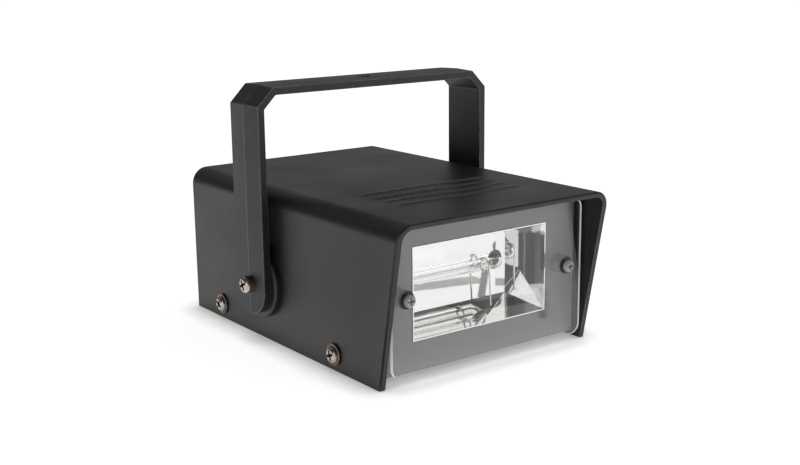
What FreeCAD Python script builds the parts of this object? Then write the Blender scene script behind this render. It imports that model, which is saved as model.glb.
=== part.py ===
import FreeCAD, Part
import Sketcher
import math
import os
import re

# A small xenon stroboscope: a hooded housing with a flash tube in a box reflector behind a clear
# lens, and a U bracket that swings about two screws in the housing's sides.
# The front faces -Y, +Z is up, and the origin is on the surface it stands on, under the middle of
# its overall length and width.

V = FreeCAD.Vector
X_AXIS = V(1, 0, 0)
Y_AXIS = V(0, 1, 0)
Z_AXIS = V(0, 0, 1)
SIDES = (-1, 1)
TUBE_LEGS = ("tube_far_leg_x", "tube_leg_x")

# Driving sizes in millimetres, except where a name says count, turns or share.
# A share is a part of the size of the piece it is named after.
SIZES = [
    # housing
    ("housing_width", 118.0),
    ("housing_height", 72.0),
    ("floor_depth", 160.0),
    ("hood_depth", 174.0),
    ("cover_radius", 8.0),
    ("side_wall", 3.0),
    ("top_wall", 2.5),
    ("edge_round", 1.0),
    ("fit_gap", 0.3),
    ("overrun", 2.0),
    # raised ribs on the cover
    ("rib_count", 4.0),
    ("rib_length", 68.0),
    ("rib_width", 4.6),
    ("rib_rise", 0.7),
    ("rib_slope", 60.0),
    ("rib_pitch", 9.0),
    ("rib_setback", 110.0),
    # base pan
    ("base_top", 2.5),
    ("base_lift", 1.0),
    ("base_front_gap", 1.2),
    ("base_inset", 1.0),
    ("flange_wall", 3.0),
    ("flange_rise", 12.5),
    ("flange_rear", 6.0),
    ("flange_front", 148.0),
    ("boss_diameter", 8.0),
    ("boss_length", 7.0),
    ("vent_count", 7.0),
    ("vent_width", 3.0),
    ("vent_length", 60.0),
    ("vent_pitch", 8.0),
    ("vent_setback", 30.0),
    # heads of all the screws: shoulder, crown and cross recess
    ("shoulder_rise_share", 0.6),
    ("crown_width_share", 0.72),
    ("crown_rise_share", 0.93),
    ("recess_arm_share", 0.3),
    ("recess_wall_share", 0.075),
    ("recess_depth_share", 0.65),
    # cover screws
    ("cover_screw_height", 7.5),
    ("cover_screw_rear", 27.5),
    ("cover_screw_front", 127.0),
    ("cover_screw_collar", 10.0),
    ("cover_screw_collar_rise", 0.9),
    ("cover_screw_head", 7.4),
    ("cover_screw_rise", 2.7),
    ("cover_screw_shank", 4.2),
    ("cover_screw_length", 12.0),
    # front panel, rear panel and the screws that hold them down
    ("panel_depth", 154.0),
    ("panel_wall", 2.0),
    ("rear_inset", 1.5),
    ("foot_length", 9.0),
    ("foot_side_gap", 7.7),
    ("foot_screw_inset", 7.0),
    ("small_shank", 3.0),
    ("small_head", 5.6),
    ("small_rise", 2.2),
    ("small_hole_gap", 0.2),
    ("foot_screw_length", 4.0),
    # lens
    ("lens_depth", 162.0),
    ("lens_wall", 2.0),
    ("lens_side_gap", 2.5),
    ("lens_floor_gap", 1.5),
    ("lens_top_gap", 2.0),
    ("lens_radius", 4.5),
    ("lens_screw_inset", 8.25),
    ("lens_screw_rise", 0.5),
    ("lens_screw_length", 14.0),
    ("lens_spacer_diameter", 8.0),
    ("small_nut_flats", 5.5),
    ("small_nut_height", 2.4),
    # reflector
    ("window_screw_gap", 8.0),
    ("window_margin", 11.75),
    ("window_rise", 0.75),
    ("reflector_side_taper", 9.0),
    ("reflector_far_taper", 1.5),
    ("reflector_floor_taper", 6.0),
    ("reflector_depth", 16.4),
    ("reflector_wall", 0.5),
    ("reflector_lip", 0.3),
    ("reflector_flange_inset", 5.7),
    ("reflector_flange_margin", 6.0),
    ("window_gap", 0.15),
    ("slot_width", 8.4),
    ("slot_height", 9.0),
    ("slot_round_share", 0.49),
    # flash tube
    ("tube_diameter", 5.3),
    ("tube_bore", 3.5),
    ("tube_leg_inset", 6.25),
    ("tube_far_leg_inset", 5.2),
    ("tube_bend", 4.0),
    ("tube_forward", 3.6),
    ("tube_leg_length", 21.0),
    ("tube_rise", 2.3),
    ("slot_rise", 2.5),
    ("electrode_plug", 3.3),
    ("electrode_plug_length", 5.0),
    ("electrode_collar", 5.3),
    ("electrode_collar_length", 1.2),
    ("electrode_pin", 0.9),
    ("electrode_pin_length", 8.0),
    ("sleeve_diameter", 10.6),
    ("sleeve_length", 6.0),
    ("sleeve_gap", 0.1),
    # trigger wire
    ("trigger_wire_diameter", 0.8),
    ("trigger_turns", 1.0),
    ("trigger_pitch", 1.3),
    ("trigger_inset", 10.5),
    ("trigger_gap", 0.05),
    ("trigger_tail", 4.0),
    ("trigger_hole", 1.8),
    # tube board behind the reflector
    ("tube_board_margin", 9.4),
    ("tube_board_height", 30.0),
    ("board_wall", 1.6),
    ("tube_board_gap", 5.0),
    ("tube_board_post", 6.0),
    ("tube_board_post_inset", 11.0),
    ("tube_board_screw_length", 7.0),
    # main board; the places of what it carries are shares of its width and length
    ("board_side_gap", 1.7),
    ("board_rear", 14.0),
    ("board_length", 84.0),
    ("spacer_height", 6.0),
    ("spacer_diameter", 6.0),
    ("board_screw_inset", 4.5),
    ("board_screw_length", 9.0),
    ("capacitor_count", 2.0),
    ("capacitor_diameter", 18.0),
    ("capacitor_height", 32.0),
    ("capacitor_along_share", 0.69),
    ("capacitor_across_share", -0.34),
    ("capacitor_pitch", 21.0),
    ("seam_height", 3.0),
    ("seam_groove", 0.6),
    ("transformer_diameter", 12.0),
    ("transformer_height", 16.0),
    ("transformer_across_share", 0.16),
    ("transformer_along_share", 0.83),
    ("transformer_core", 5.0),
    ("transformer_core_rise", 2.0),
    ("film_length", 18.0),
    ("film_width", 7.0),
    ("film_height", 14.0),
    ("film_across_share", 0.16),
    ("film_along_share", 0.53),
    ("film_round", 0.8),
    ("thyristor_width", 10.2),
    ("thyristor_wall", 4.4),
    ("thyristor_height", 9.2),
    ("thyristor_tab_wall", 1.3),
    ("thyristor_tab_height", 15.6),
    ("thyristor_hole", 3.7),
    ("thyristor_hole_drop", 2.8),
    ("thyristor_leg", 0.8),
    ("thyristor_leg_pitch", 2.54),
    ("thyristor_lift", 4.0),
    ("thyristor_across_share", 0.38),
    ("thyristor_along_share", 0.81),
    ("resistor_length", 22.0),
    ("resistor_width", 9.5),
    ("resistor_height", 9.0),
    ("resistor_lift", 2.0),
    ("resistor_lead", 0.8),
    ("resistor_across_share", 0.38),
    ("resistor_along_share", 0.45),
    ("diode_count", 2.0),
    ("diode_diameter", 2.7),
    ("diode_length", 5.2),
    ("diode_lead", 0.8),
    ("diode_span", 12.0),
    ("diode_lift", 2.5),
    ("diode_across_share", 0.09),
    ("diode_along_share", 0.33),
    ("diode_pitch", 6.0),
    ("fuse_diameter", 5.2),
    ("fuse_length", 20.0),
    ("fuse_cap_length", 4.5),
    ("fuse_cap_diameter", 5.8),
    ("fuse_lift", 2.0),
    ("fuse_across_share", -0.32),
    ("fuse_along_share", 0.33),
    ("clip_wall", 0.5),
    ("clip_width", 4.0),
    ("clip_height", 7.5),
    ("terminal_length", 10.0),
    ("terminal_width", 8.0),
    ("terminal_height", 10.0),
    ("terminal_pitch", 5.0),
    ("terminal_port", 3.0),
    ("terminal_across_share", 0.27),
    ("terminal_along_share", 0.12),
    ("terminal_screw_diameter", 3.4),
    ("terminal_screw_depth", 3.0),
    ("terminal_screw_sink", 1.2),
    ("terminal_slot", 0.6),
    ("terminal_slot_depth", 0.6),
    # rate control on the rear panel
    ("pot_inset", 18.0),
    ("pot_height", 42.0),
    ("pot_diameter", 16.5),
    ("pot_length", 9.0),
    ("bush_diameter", 7.0),
    ("bush_length", 7.0),
    ("shaft_diameter", 6.0),
    ("shaft_gap", 0.05),
    ("shaft_depth", 2.5),
    ("pot_pin_width", 1.2),
    ("pot_pin_wall", 0.5),
    ("pot_pin_length", 6.0),
    ("pot_pin_pitch", 5.0),
    ("pot_washer_diameter", 12.0),
    ("pot_washer_wall", 0.5),
    ("pot_nut_flats", 10.0),
    ("pot_nut_height", 2.0),
    ("knob_gap", 0.8),
    ("knob_length", 13.0),
    ("knob_skirt", 17.0),
    ("knob_top", 14.5),
    ("knob_cavity", 13.2),
    ("knob_cavity_depth", 4.6),
    ("knob_cap", 2.0),
    ("knob_flutes", 12.0),
    ("knob_flute_width", 1.4),
    ("knob_flute_depth", 0.6),
    ("knob_edge", 0.8),
    ("knob_bore_gap", 0.02),
    ("pointer_width", 1.4),
    ("pointer_length", 6.0),
    ("pointer_depth", 0.6),
    # supply inlet
    ("inlet_inset", 18.0),
    ("inlet_height", 30.0),
    ("inlet_bore", 6.2),
    ("inlet_neck", 9.5),
    ("inlet_flange", 13.0),
    ("inlet_flange_wall", 1.8),
    ("inlet_hole_gap", 0.1),
    # bracket and its pivots
    ("pivot_depth", 68.0),
    ("pivot_height", 27.5),
    ("pivot_shank", 4.0),
    ("pivot_length", 16.0),
    ("pivot_head", 8.0),
    ("pivot_rise", 3.1),
    ("pivot_hole_gap", 0.15),
    ("pivot_running_gap", 0.075),
    ("pivot_nut_flats", 7.0),
    ("pivot_nut_height", 3.2),
    ("nut_bore_gap", 0.05),
    ("lock_washer_diameter", 7.6),
    ("lock_washer_wall", 0.9),
    ("lock_washer_split", 1.0),
    ("pivot_spacer_wall", 3.25),
    ("pivot_spacer_diameter", 33.0),
    ("pivot_spacer_round", 1.2),
    ("strap_wall", 4.0),
    ("strap_width", 25.0),
    ("strap_cut", 8.5),
    ("strap_ridge", 0.45),
    ("strap_round_share", 0.49),
    ("leg_drop", 14.0),
    ("hand_room", 43.1),
    ("bracket_hole", 7.0),
    # wires inside
    ("bend_share", 0.45),
    ("lead_diameter", 1.8),
    ("lead_drop", 8.0),
    ("lead_reach", 14.0),
    ("pot_lead_diameter", 1.2),
    ("pot_lead_reach", 8.0),
]

# Places worked out from the driving sizes
PLACES = [
    ("rear_reach", "knob_gap + knob_length - rear_inset"),
    ("hood_lean", "atan((hood_depth - floor_depth) / housing_height)"),
    ("hood_trim", "edge_round * (tan(45 deg + hood_lean / 2) - 1)"),
    ("rear_y", "(hood_depth - hood_trim - rear_reach) / 2"),
    ("inner_half", "housing_width / 2 - side_wall"),
    ("inner_top", "housing_height - top_wall"),
    ("pan_half", "inner_half - fit_gap"),
    ("panel_top", "inner_top - fit_gap"),
    ("inner_radius", "cover_radius - side_wall"),
    ("pivot_y", "rear_y - pivot_depth"),
    ("screw_rear_y", "rear_y - cover_screw_rear"),
    ("screw_front_y", "rear_y - cover_screw_front"),
    ("panel_face", "rear_y - panel_depth"),
    ("panel_back", "panel_face + panel_wall"),
    ("lens_face", "rear_y - lens_depth"),
    ("lens_back", "lens_face + lens_wall"),
    ("rear_face", "rear_y - rear_inset"),
    ("rear_inner", "rear_face - panel_wall"),
    ("foot_width", "2 * (pan_half - flange_wall - foot_side_gap)"),
    ("foot_screw_x", "foot_width / 2 - foot_screw_inset"),
    ("lens_width", "2 * (inner_half - lens_side_gap)"),
    ("lens_bottom", "base_top + lens_floor_gap"),
    ("lens_top", "inner_top - lens_top_gap"),
    ("lens_screw_x", "lens_width / 2 - lens_screw_inset"),
    ("window_width", "2 * (lens_screw_x - window_screw_gap)"),
    ("window_height", "lens_top - lens_bottom - 2 * window_margin"),
    ("window_centre", "(lens_bottom + lens_top) / 2 + window_rise"),
    ("lens_screw_height", "window_centre + lens_screw_rise"),
    ("reflector_back_low_x", "reflector_far_taper - window_width / 2"),
    ("reflector_back_high_x", "window_width / 2 - reflector_side_taper"),
    ("reflector_back_height", "window_height - 2 * reflector_floor_taper"),
    ("reflector_flange_width", "2 * (pan_half - reflector_flange_inset)"),
    ("reflector_flange_height", "window_height + 2 * reflector_flange_margin"),
    ("tube_leg_x", "reflector_back_high_x - tube_leg_inset"),
    ("tube_far_leg_x", "reflector_back_low_x + tube_far_leg_inset"),
    ("tube_z", "window_centre + tube_rise"),
    ("trigger_start", "tube_leg_x - trigger_inset"),
    ("trigger_radius", "(tube_diameter + trigger_wire_diameter) / 2 + trigger_gap"),
    ("trigger_drop", "tube_z - window_centre + window_height / 2"),
    ("trigger_drift", "trigger_drop * trigger_pitch / (2 * pi * trigger_radius)"),
    ("trigger_hole_x", "trigger_start + trigger_turns * trigger_pitch + trigger_drift"),
    ("tube_board_low_x", "tube_far_leg_x - tube_board_margin"),
    ("tube_board_width", "tube_leg_x + tube_board_margin - tube_board_low_x"),
    ("tube_board_post_x", "tube_leg_x - tube_board_post_inset"),
    ("lip_y", "panel_face - reflector_lip"),
    ("mirror_y", "panel_face + reflector_depth"),
    ("reflector_back", "mirror_y + reflector_wall"),
    ("tube_y", "mirror_y - tube_forward"),
    ("slot_z", "window_centre + slot_rise"),
    ("tube_end", "tube_y + tube_leg_length"),
    ("tube_board_face", "tube_end + tube_board_gap"),
    ("small_hole", "small_shank + small_hole_gap"),
    ("board_bottom", "base_top + spacer_height"),
    ("board_top", "board_bottom + board_wall"),
    ("board_back_y", "rear_y - board_rear"),
    ("board_front_y", "board_back_y - board_length"),
    ("board_width", "2 * (pan_half - flange_wall - boss_length - board_side_gap)"),
    ("pot_x", "pot_inset - board_width / 2"),
    ("inlet_x", "board_width / 2 - inlet_inset"),
    ("board_screw_x", "board_width / 2 - board_screw_inset"),
    ("capacitor_x", "board_width * capacitor_across_share"),
    ("capacitor_y", "board_back_y - board_length * capacitor_along_share"),
    ("transformer_x", "board_width * transformer_across_share"),
    ("transformer_y", "board_back_y - board_length * transformer_along_share"),
    ("film_x", "board_width * film_across_share"),
    ("film_y", "board_back_y - board_length * film_along_share"),
    ("thyristor_x", "board_width * thyristor_across_share"),
    ("thyristor_y", "board_back_y - board_length * thyristor_along_share"),
    ("resistor_x", "board_width * resistor_across_share"),
    ("resistor_y", "board_back_y - board_length * resistor_along_share"),
    ("diode_x", "board_width * diode_across_share"),
    ("diode_y", "board_back_y - board_length * diode_along_share"),
    ("fuse_x", "board_width * fuse_across_share"),
    ("fuse_y", "board_back_y - board_length * fuse_along_share"),
    ("terminal_x", "board_width * terminal_across_share"),
    ("terminal_y", "board_back_y - board_length * terminal_along_share"),
    ("strap_inner", "housing_width / 2 + pivot_spacer_wall"),
    ("strap_outer", "strap_inner + strap_wall"),
    ("strap_top", "housing_height + hand_room + strap_wall"),
    ("strap_low", "pivot_height - leg_drop"),
    ("inner_cut", "strap_cut - strap_wall * (2 - sqrt(2))"),
    ("bush_end", "rear_inner + bush_length"),
    ("knob_base", "rear_face + knob_gap"),
    ("knob_end", "knob_base + knob_length"),
    ("foot_y_front", "panel_back + foot_length / 2"),
    ("foot_y_rear", "rear_inner - foot_length / 2"),
]

# How close two numbers, a point and a plane, or two directions are when they count as the same
TOUCH = 1e-4
ON_PLANE = 1e-3
PARALLEL = 0.9999

doc = FreeCAD.newDocument("xenon_stroboscope")
NODES = {}


def fill_sheet(name, rows, text_of):
    sheet = doc.addObject("Spreadsheet::Sheet", name)
    for row, (alias, value) in enumerate(rows, 1):
        sheet.set("A%d" % row, alias.replace("_", " "))
        sheet.set("B%d" % row, text_of(value))
        sheet.setAlias("B%d" % row, alias)
    doc.recompute()
    return sheet


OWNER = {alias: "Sizes" for alias, value in SIZES}
OWNER.update({alias: "Places" for alias, formula in PLACES})


def with_owner(formula):
    """A formula whose names are written out with the sheet that holds each of them."""
    return re.sub(r"[a-z_]+", lambda m: OWNER[m[0]] + "." + m[0] if m[0] in OWNER else m[0], formula)


sizes = fill_sheet("Sizes", SIZES, str)
places = fill_sheet("Places", PLACES, lambda formula: "=" + with_owner(formula))


def size(alias):
    return float(sizes.get(alias) if OWNER[alias] == "Sizes" else places.get(alias))


def bind(thing, prop, formula):
    thing.setExpression(prop, with_owner(formula))


def place(thing, at, rotation=None):
    if rotation is not None:
        thing.Placement = FreeCAD.Placement(V(), rotation)
    for letter, formula in zip("xyz", at):
        bind(thing, "Placement.Base." + letter, formula)
    return thing


def towards(direction):
    return FreeCAD.Rotation(Z_AXIS, direction)


def node(label, thing):
    thing.Label = label
    NODES[label] = thing
    return thing


# Primitives and booleans

def block(name, low, lengths):
    box = doc.addObject("Part::Box", name)
    for prop, formula in zip(("Length", "Width", "Height"), lengths):
        bind(box, prop, formula)
    return place(box, low)


def rod(name, at, direction, diameter, length):
    cylinder = doc.addObject("Part::Cylinder", name)
    bind(cylinder, "Radius", "(%s) / 2" % diameter)
    bind(cylinder, "Height", length)
    return place(cylinder, at, towards(direction))


def hexagon(name, at, direction, flats, length):
    prism = doc.addObject("Part::Prism", name)
    prism.Polygon = 6
    bind(prism, "Circumradius", "(%s) / sqrt(3)" % flats)
    bind(prism, "Height", length)
    return place(prism, at, towards(direction))


def join(name, parts):
    fuse = doc.addObject("Part::MultiFuse", name)
    fuse.Shapes = parts
    return fuse


def group(name, parts):
    compound = doc.addObject("Part::Compound", name)
    compound.Links = parts
    return compound


def cut(name, base, tools):
    result = doc.addObject("Part::Cut", name)
    result.Base = base
    result.Tool = tools[0] if len(tools) == 1 else group(name + "_tools", tools)
    return result


def ring(name, at, direction, outer, inner, length):
    wall = rod(name + "_wall", at, direction, outer, length)
    hole = rod(name + "_hole", at, direction, inner, length)
    return cut(name, wall, [hole])


def copies(label, master, spots):
    """One node made of linked copies of a master piece, each at its own place and turn."""
    links = []
    for at, rotation in spots:
        link = doc.addObject("App::Link", label + "_copy")
        link.LinkedObject = master
        links.append(place(link, at, rotation))
    return node(label, group(label, links))


# Bodies, sketches and features

def new_body(name):
    return doc.addObject("PartDesign::Body", name)


def sketch_on(body, role, height="0"):
    sketch = body.newObject("Sketcher::SketchObject", body.Name + "_sketch")
    plane = next(datum for datum in body.Origin.OriginFeatures if datum.Role == role)
    sketch.AttachmentSupport = [(plane, "")]
    sketch.MapMode = "FlatFace"
    bind(sketch, "AttachmentOffset.Base.z", height)
    return sketch


def pin_point(sketch, geometry, point, at):
    for kind, formula in zip(("DistanceX", "DistanceY"), at):
        number = sketch.addConstraint(Sketcher.Constraint(kind, -1, 1, geometry, point, 1.0))
        bind(sketch, "Constraints[%d]" % number, formula)


def add_loop(sketch, corners):
    """A closed outline of straight edges whose corners follow the formulas given."""
    first = sketch.GeometryCount
    count = len(corners)
    on_circle = [V(math.cos(turn), math.sin(turn), 0)
                 for turn in (2 * math.pi * k / count for k in range(count))]
    for k in range(count):
        sketch.addGeometry(Part.LineSegment(on_circle[k], on_circle[(k + 1) % count]), False)
    for k in range(count):
        sketch.addConstraint(Sketcher.Constraint("Coincident", first + k, 2, first + (k + 1) % count, 1))
    for k, at in enumerate(corners):
        pin_point(sketch, first + k, 1, at)
    return sketch


def add_path(sketch, points):
    """An open line of straight runs whose points follow the formulas given."""
    for k in range(len(points) - 1):
        sketch.addGeometry(Part.LineSegment(V(k, k % 2, 0), V(k + 1, (k + 1) % 2, 0)), False)
        if k:
            sketch.addConstraint(Sketcher.Constraint("Coincident", k - 1, 2, k, 1))
        pin_point(sketch, k, 1, points[k])
    pin_point(sketch, len(points) - 2, 2, points[-1])
    return sketch


def add_rectangle(sketch, low, high):
    return add_loop(sketch, [(low[0], low[1]), (high[0], low[1]), (high[0], high[1]), (low[0], high[1])])


def centred(width, height, centre):
    """The low and high corners of a rectangle about x = 0 and a centre height."""
    return (("-(%s) / 2" % width, "%s - (%s) / 2" % (centre, height)),
            ("(%s) / 2" % width, "%s + (%s) / 2" % (centre, height)))


def add_circle(sketch, centre, diameter):
    number = sketch.addGeometry(Part.Circle(V(), Z_AXIS, 1.0), False)
    pin_point(sketch, number, 3, centre)
    radius = sketch.addConstraint(Sketcher.Constraint("Radius", number, 1.0))
    bind(sketch, "Constraints[%d]" % radius, "(%s) / 2" % diameter)
    return sketch


def pad(body, sketch, length, symmetric=False, reverse=False):
    feature = body.newObject("PartDesign::Pad", body.Name + "_pad")
    feature.Profile = sketch
    feature.SideType = "Symmetric" if symmetric else "One side"
    feature.Reversed = reverse
    bind(feature, "Length", length)
    return feature


def pocket(body, sketch, length=None, reverse=False):
    """A cut to a length on both sides of the sketch, or one way, or right through with no length."""
    feature = body.newObject("PartDesign::Pocket", body.Name + "_pocket")
    feature.Profile = sketch
    if length is None:
        feature.SideType = "Symmetric"
        feature.Type = "ThroughAll"
    else:
        feature.Reversed = reverse
        bind(feature, "Length", length)
    return feature


def revolve(body, sketch):
    feature = body.newObject("PartDesign::Revolution", body.Name + "_revolution")
    feature.Profile = sketch
    feature.ReferenceAxis = (sketch, ["V_Axis"])
    feature.Angle = 360.0
    return feature


def edges_where(feature, test):
    doc.recompute()
    return ["Edge%d" % (k + 1) for k, edge in enumerate(feature.Shape.Edges) if test(edge)]


def fillet(body, base, test, radius):
    feature = body.newObject("PartDesign::Fillet", body.Name + "_fillet")
    feature.Base = (base, edges_where(base, test))
    bind(feature, "Radius", radius)
    return feature


def ends_of(edge):
    return edge.Vertexes[0].Point, edge.Vertexes[-1].Point


def runs_along(edge, axis):
    start, end = ends_of(edge)
    run = end - start
    return run.Length > 0 and abs(run.normalize().dot(axis)) > PARALLEL


def near(a, b):
    return abs(a - b) < TOUCH


# Fasteners, drawn with their seat at z = 0 and their head towards +Z

def pan_screw(name, shank, length, head, rise, collar=None, collar_rise=None):
    body = new_body(name)
    half, rim = "%s / 2" % shank, "%s / 2" % head
    outline = [("0", "-" + length), (half, "-" + length), (half, "0")]
    if collar:
        outline += [(collar + " / 2", "0"), (collar + " / 2", collar_rise), (rim, collar_rise)]
    else:
        outline += [(rim, "0")]
    outline += [(rim, rise + " * shoulder_rise_share"),
                (rim + " * crown_width_share", rise + " * crown_rise_share"), ("0", rise)]
    revolve(body, add_loop(sketch_on(body, "XZ_Plane"), outline))
    arm, wall = head + " * recess_arm_share", head + " * recess_wall_share"
    recess = sketch_on(body, "XY_Plane", rise)
    low_arm, low_wall = "-" + arm, "-" + wall
    add_loop(recess, [
        (wall, wall), (wall, arm), (low_wall, arm), (low_wall, wall), (low_arm, wall), (low_arm, low_wall),
        (low_wall, low_wall), (low_wall, low_arm), (wall, low_arm), (wall, low_wall), (arm, low_wall),
        (arm, wall)])
    pocket(body, recess, rise + " * recess_depth_share")
    return body


def small_screw(name, length):
    return pan_screw(name, "small_shank", length, "small_head", "small_rise")


# Housing

def make_top_cover():
    body = new_body("top_cover")
    side = sketch_on(body, "YZ_Plane")
    add_loop(side, [("rear_y", "0"), ("rear_y - floor_depth", "0"),
                    ("rear_y - hood_depth", "housing_height"), ("rear_y", "housing_height")])
    shell = pad(body, side, "housing_width", symmetric=True)
    high = size("housing_height")
    fillet(body, shell, lambda e: runs_along(e, Y_AXIS) and near(ends_of(e)[0].z, high),
           "cover_radius")
    inside = sketch_on(body, "YZ_Plane")
    add_rectangle(inside, ("rear_y - hood_depth - overrun", "-overrun"), ("rear_y + overrun", "inner_top"))
    hollow = pocket(body, inside, "2 * inner_half")
    hollow.SideType = "Symmetric"
    inner_top = size("inner_top")
    inner_half = size("inner_half")
    inner_round = fillet(body, hollow, lambda e: runs_along(e, Y_AXIS) and near(ends_of(e)[0].z, inner_top)
                         and near(abs(ends_of(e)[0].x), inner_half), "inner_radius")
    lean = V(0, size("floor_depth") - size("hood_depth"), high)
    foot = V(0, size("rear_y") - size("floor_depth"), 0)
    square = lean.cross(X_AXIS).normalize()

    def on_outer_rim(edge):
        ends = ends_of(edge)
        on_front = all(abs((p - foot).dot(square)) < ON_PLANE for p in ends)
        on_rear = all(near(p.y, size("rear_y")) for p in ends)
        outside = all(abs(p.x) > (inner_half + size("housing_width") / 2) / 2
                      or p.z > (inner_top + high) / 2 for p in ends)
        return (on_front or on_rear) and outside

    fillet(body, inner_round, on_outer_rim, "edge_round")
    holes = sketch_on(body, "YZ_Plane")
    for y in ("screw_rear_y", "screw_front_y"):
        add_circle(holes, (y, "cover_screw_height"), "cover_screw_shank + 2 * fit_gap")
    add_circle(holes, ("pivot_y", "pivot_height"), "pivot_shank + 2 * pivot_hole_gap")
    pocket(body, holes)
    ribs = sketch_on(body, "XY_Plane", "housing_height")
    for k in range(int(size("rib_count"))):
        y = "rear_y - rib_setback - rib_pitch * %d" % k
        add_rectangle(ribs, ("-rib_length / 2", y + " - rib_width"), ("rib_length / 2", y))
    raised = pad(body, ribs, "rib_rise")
    bind(raised, "TaperAngle", "-rib_slope * 1 deg")
    return node("top_cover", body)


def make_base_pan():
    body = new_body("base_pan")
    floor = sketch_on(body, "XY_Plane", "base_lift")
    add_rectangle(floor, ("-pan_half", "panel_back + base_front_gap"), ("pan_half", "rear_y - base_inset"))
    pad(body, floor, "base_top - base_lift")
    walls = sketch_on(body, "XY_Plane", "base_top")
    for low, high in (("-pan_half", "-pan_half + flange_wall"), ("pan_half - flange_wall", "pan_half")):
        add_rectangle(walls, (low, "rear_y - flange_front"), (high, "rear_y - flange_rear"))
    pad(body, walls, "flange_rise")
    for start in ("pan_half - flange_wall - boss_length", "-(pan_half - flange_wall)"):
        bosses = sketch_on(body, "YZ_Plane", start)
        for y in ("screw_rear_y", "screw_front_y"):
            add_circle(bosses, (y, "cover_screw_height"), "boss_diameter")
        pad(body, bosses, "boss_length")
    pilots = sketch_on(body, "YZ_Plane")
    for y in ("screw_rear_y", "screw_front_y"):
        add_circle(pilots, (y, "cover_screw_height"), "cover_screw_shank + 2 * nut_bore_gap")
    pocket(body, pilots)
    vents = sketch_on(body, "XY_Plane")
    for k in range(int(size("vent_count"))):
        x = "vent_pitch * (%d - (vent_count - 1) / 2)" % k
        add_rectangle(vents, (x + " - vent_width / 2", "rear_y - vent_setback - vent_length"),
                      (x + " + vent_width / 2", "rear_y - vent_setback"))
    for side in SIDES:
        for y in ("foot_y_front", "foot_y_rear"):
            add_circle(vents, ("%d * foot_screw_x" % side, y), "small_hole")
        for y in ("board_back_y - board_screw_inset", "board_front_y + board_screw_inset"):
            add_circle(vents, ("%d * board_screw_x" % side, y), "small_hole")
    pocket(body, vents)
    return node("base_pan", body)


def panel_with_foot(name, back, foot_low, foot_high, foot_y):
    """A standing panel whose back is at a y and whose wall lies in front of it, with a foot on the floor."""
    body = new_body(name)
    face = sketch_on(body, "XZ_Plane", "-(%s)" % back)
    add_rectangle(face, ("-pan_half", "base_top"), ("pan_half", "panel_top"))
    sheet = pad(body, face, "panel_wall")
    top = size("panel_top")
    fillet(body, sheet, lambda e: runs_along(e, Y_AXIS) and near(ends_of(e)[0].z, top),
           "inner_radius")
    foot = sketch_on(body, "XY_Plane", "base_top")
    add_rectangle(foot, ("-foot_width / 2", foot_low), ("foot_width / 2", foot_high))
    pad(body, foot, "panel_wall")
    holes = sketch_on(body, "XY_Plane")
    for side in SIDES:
        add_circle(holes, ("%d * foot_screw_x" % side, foot_y), "small_hole")
    pocket(body, holes)
    return body


def make_front_panel():
    body = panel_with_foot("front_panel", "panel_back", "panel_back", "panel_back + foot_length",
                           "foot_y_front")
    window = sketch_on(body, "XZ_Plane", "-panel_back")
    edge = " + 2 * (reflector_wall + window_gap)"
    add_rectangle(window, *centred("window_width" + edge, "window_height" + edge, "window_centre"))
    for side in SIDES:
        add_circle(window, ("%d * lens_screw_x" % side, "lens_screw_height"), "small_hole")
    pocket(body, window)
    return node("front_panel", body)


def make_rear_panel():
    body = panel_with_foot("rear_panel", "rear_face", "rear_inner - foot_length", "rear_inner", "foot_y_rear")
    holes = sketch_on(body, "XZ_Plane", "-rear_face")
    add_circle(holes, ("pot_x", "pot_height"), "bush_diameter + 2 * inlet_hole_gap")
    add_circle(holes, ("inlet_x", "inlet_height"), "inlet_neck + 2 * inlet_hole_gap")
    pocket(body, holes)
    return node("rear_panel", body)


def make_front_lens():
    body = new_body("front_lens")
    outline = sketch_on(body, "XZ_Plane", "-lens_back")
    add_rectangle(outline, ("-lens_width / 2", "lens_bottom"), ("lens_width / 2", "lens_top"))
    for side in SIDES:
        add_circle(outline, ("%d * lens_screw_x" % side, "lens_screw_height"), "small_hole")
    sheet = pad(body, outline, "lens_wall")
    fillet(body, sheet, lambda e: runs_along(e, Y_AXIS) and len(e.Vertexes) == 2, "lens_radius")
    return node("front_lens", body)


def make_lens_hardware():
    at_screws = [("%d * lens_screw_x" % side) for side in SIDES]
    spacers = [ring("lens_spacer", (x, "panel_face", "lens_screw_height"), -Y_AXIS, "lens_spacer_diameter",
                    "small_hole", "lens_depth - lens_wall - panel_depth") for x in at_screws]
    node("lens_spacers", group("lens_spacers", spacers))
    screw = small_screw("lens_screw", "lens_screw_length")
    copies("lens_screws", screw,
           [((x, "lens_face", "lens_screw_height"), towards(-Y_AXIS)) for x in at_screws])
    nuts = []
    for x in at_screws:
        start = (x, "panel_back + reflector_wall", "lens_screw_height")
        body = hexagon("lens_nut_body", start, Y_AXIS, "small_nut_flats", "small_nut_height")
        hole = rod("lens_nut_hole", start, Y_AXIS, "small_shank + 2 * nut_bore_gap", "small_nut_height")
        nuts.append(cut("lens_nut", body, [hole]))
    node("lens_nuts", group("lens_nuts", nuts))


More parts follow.
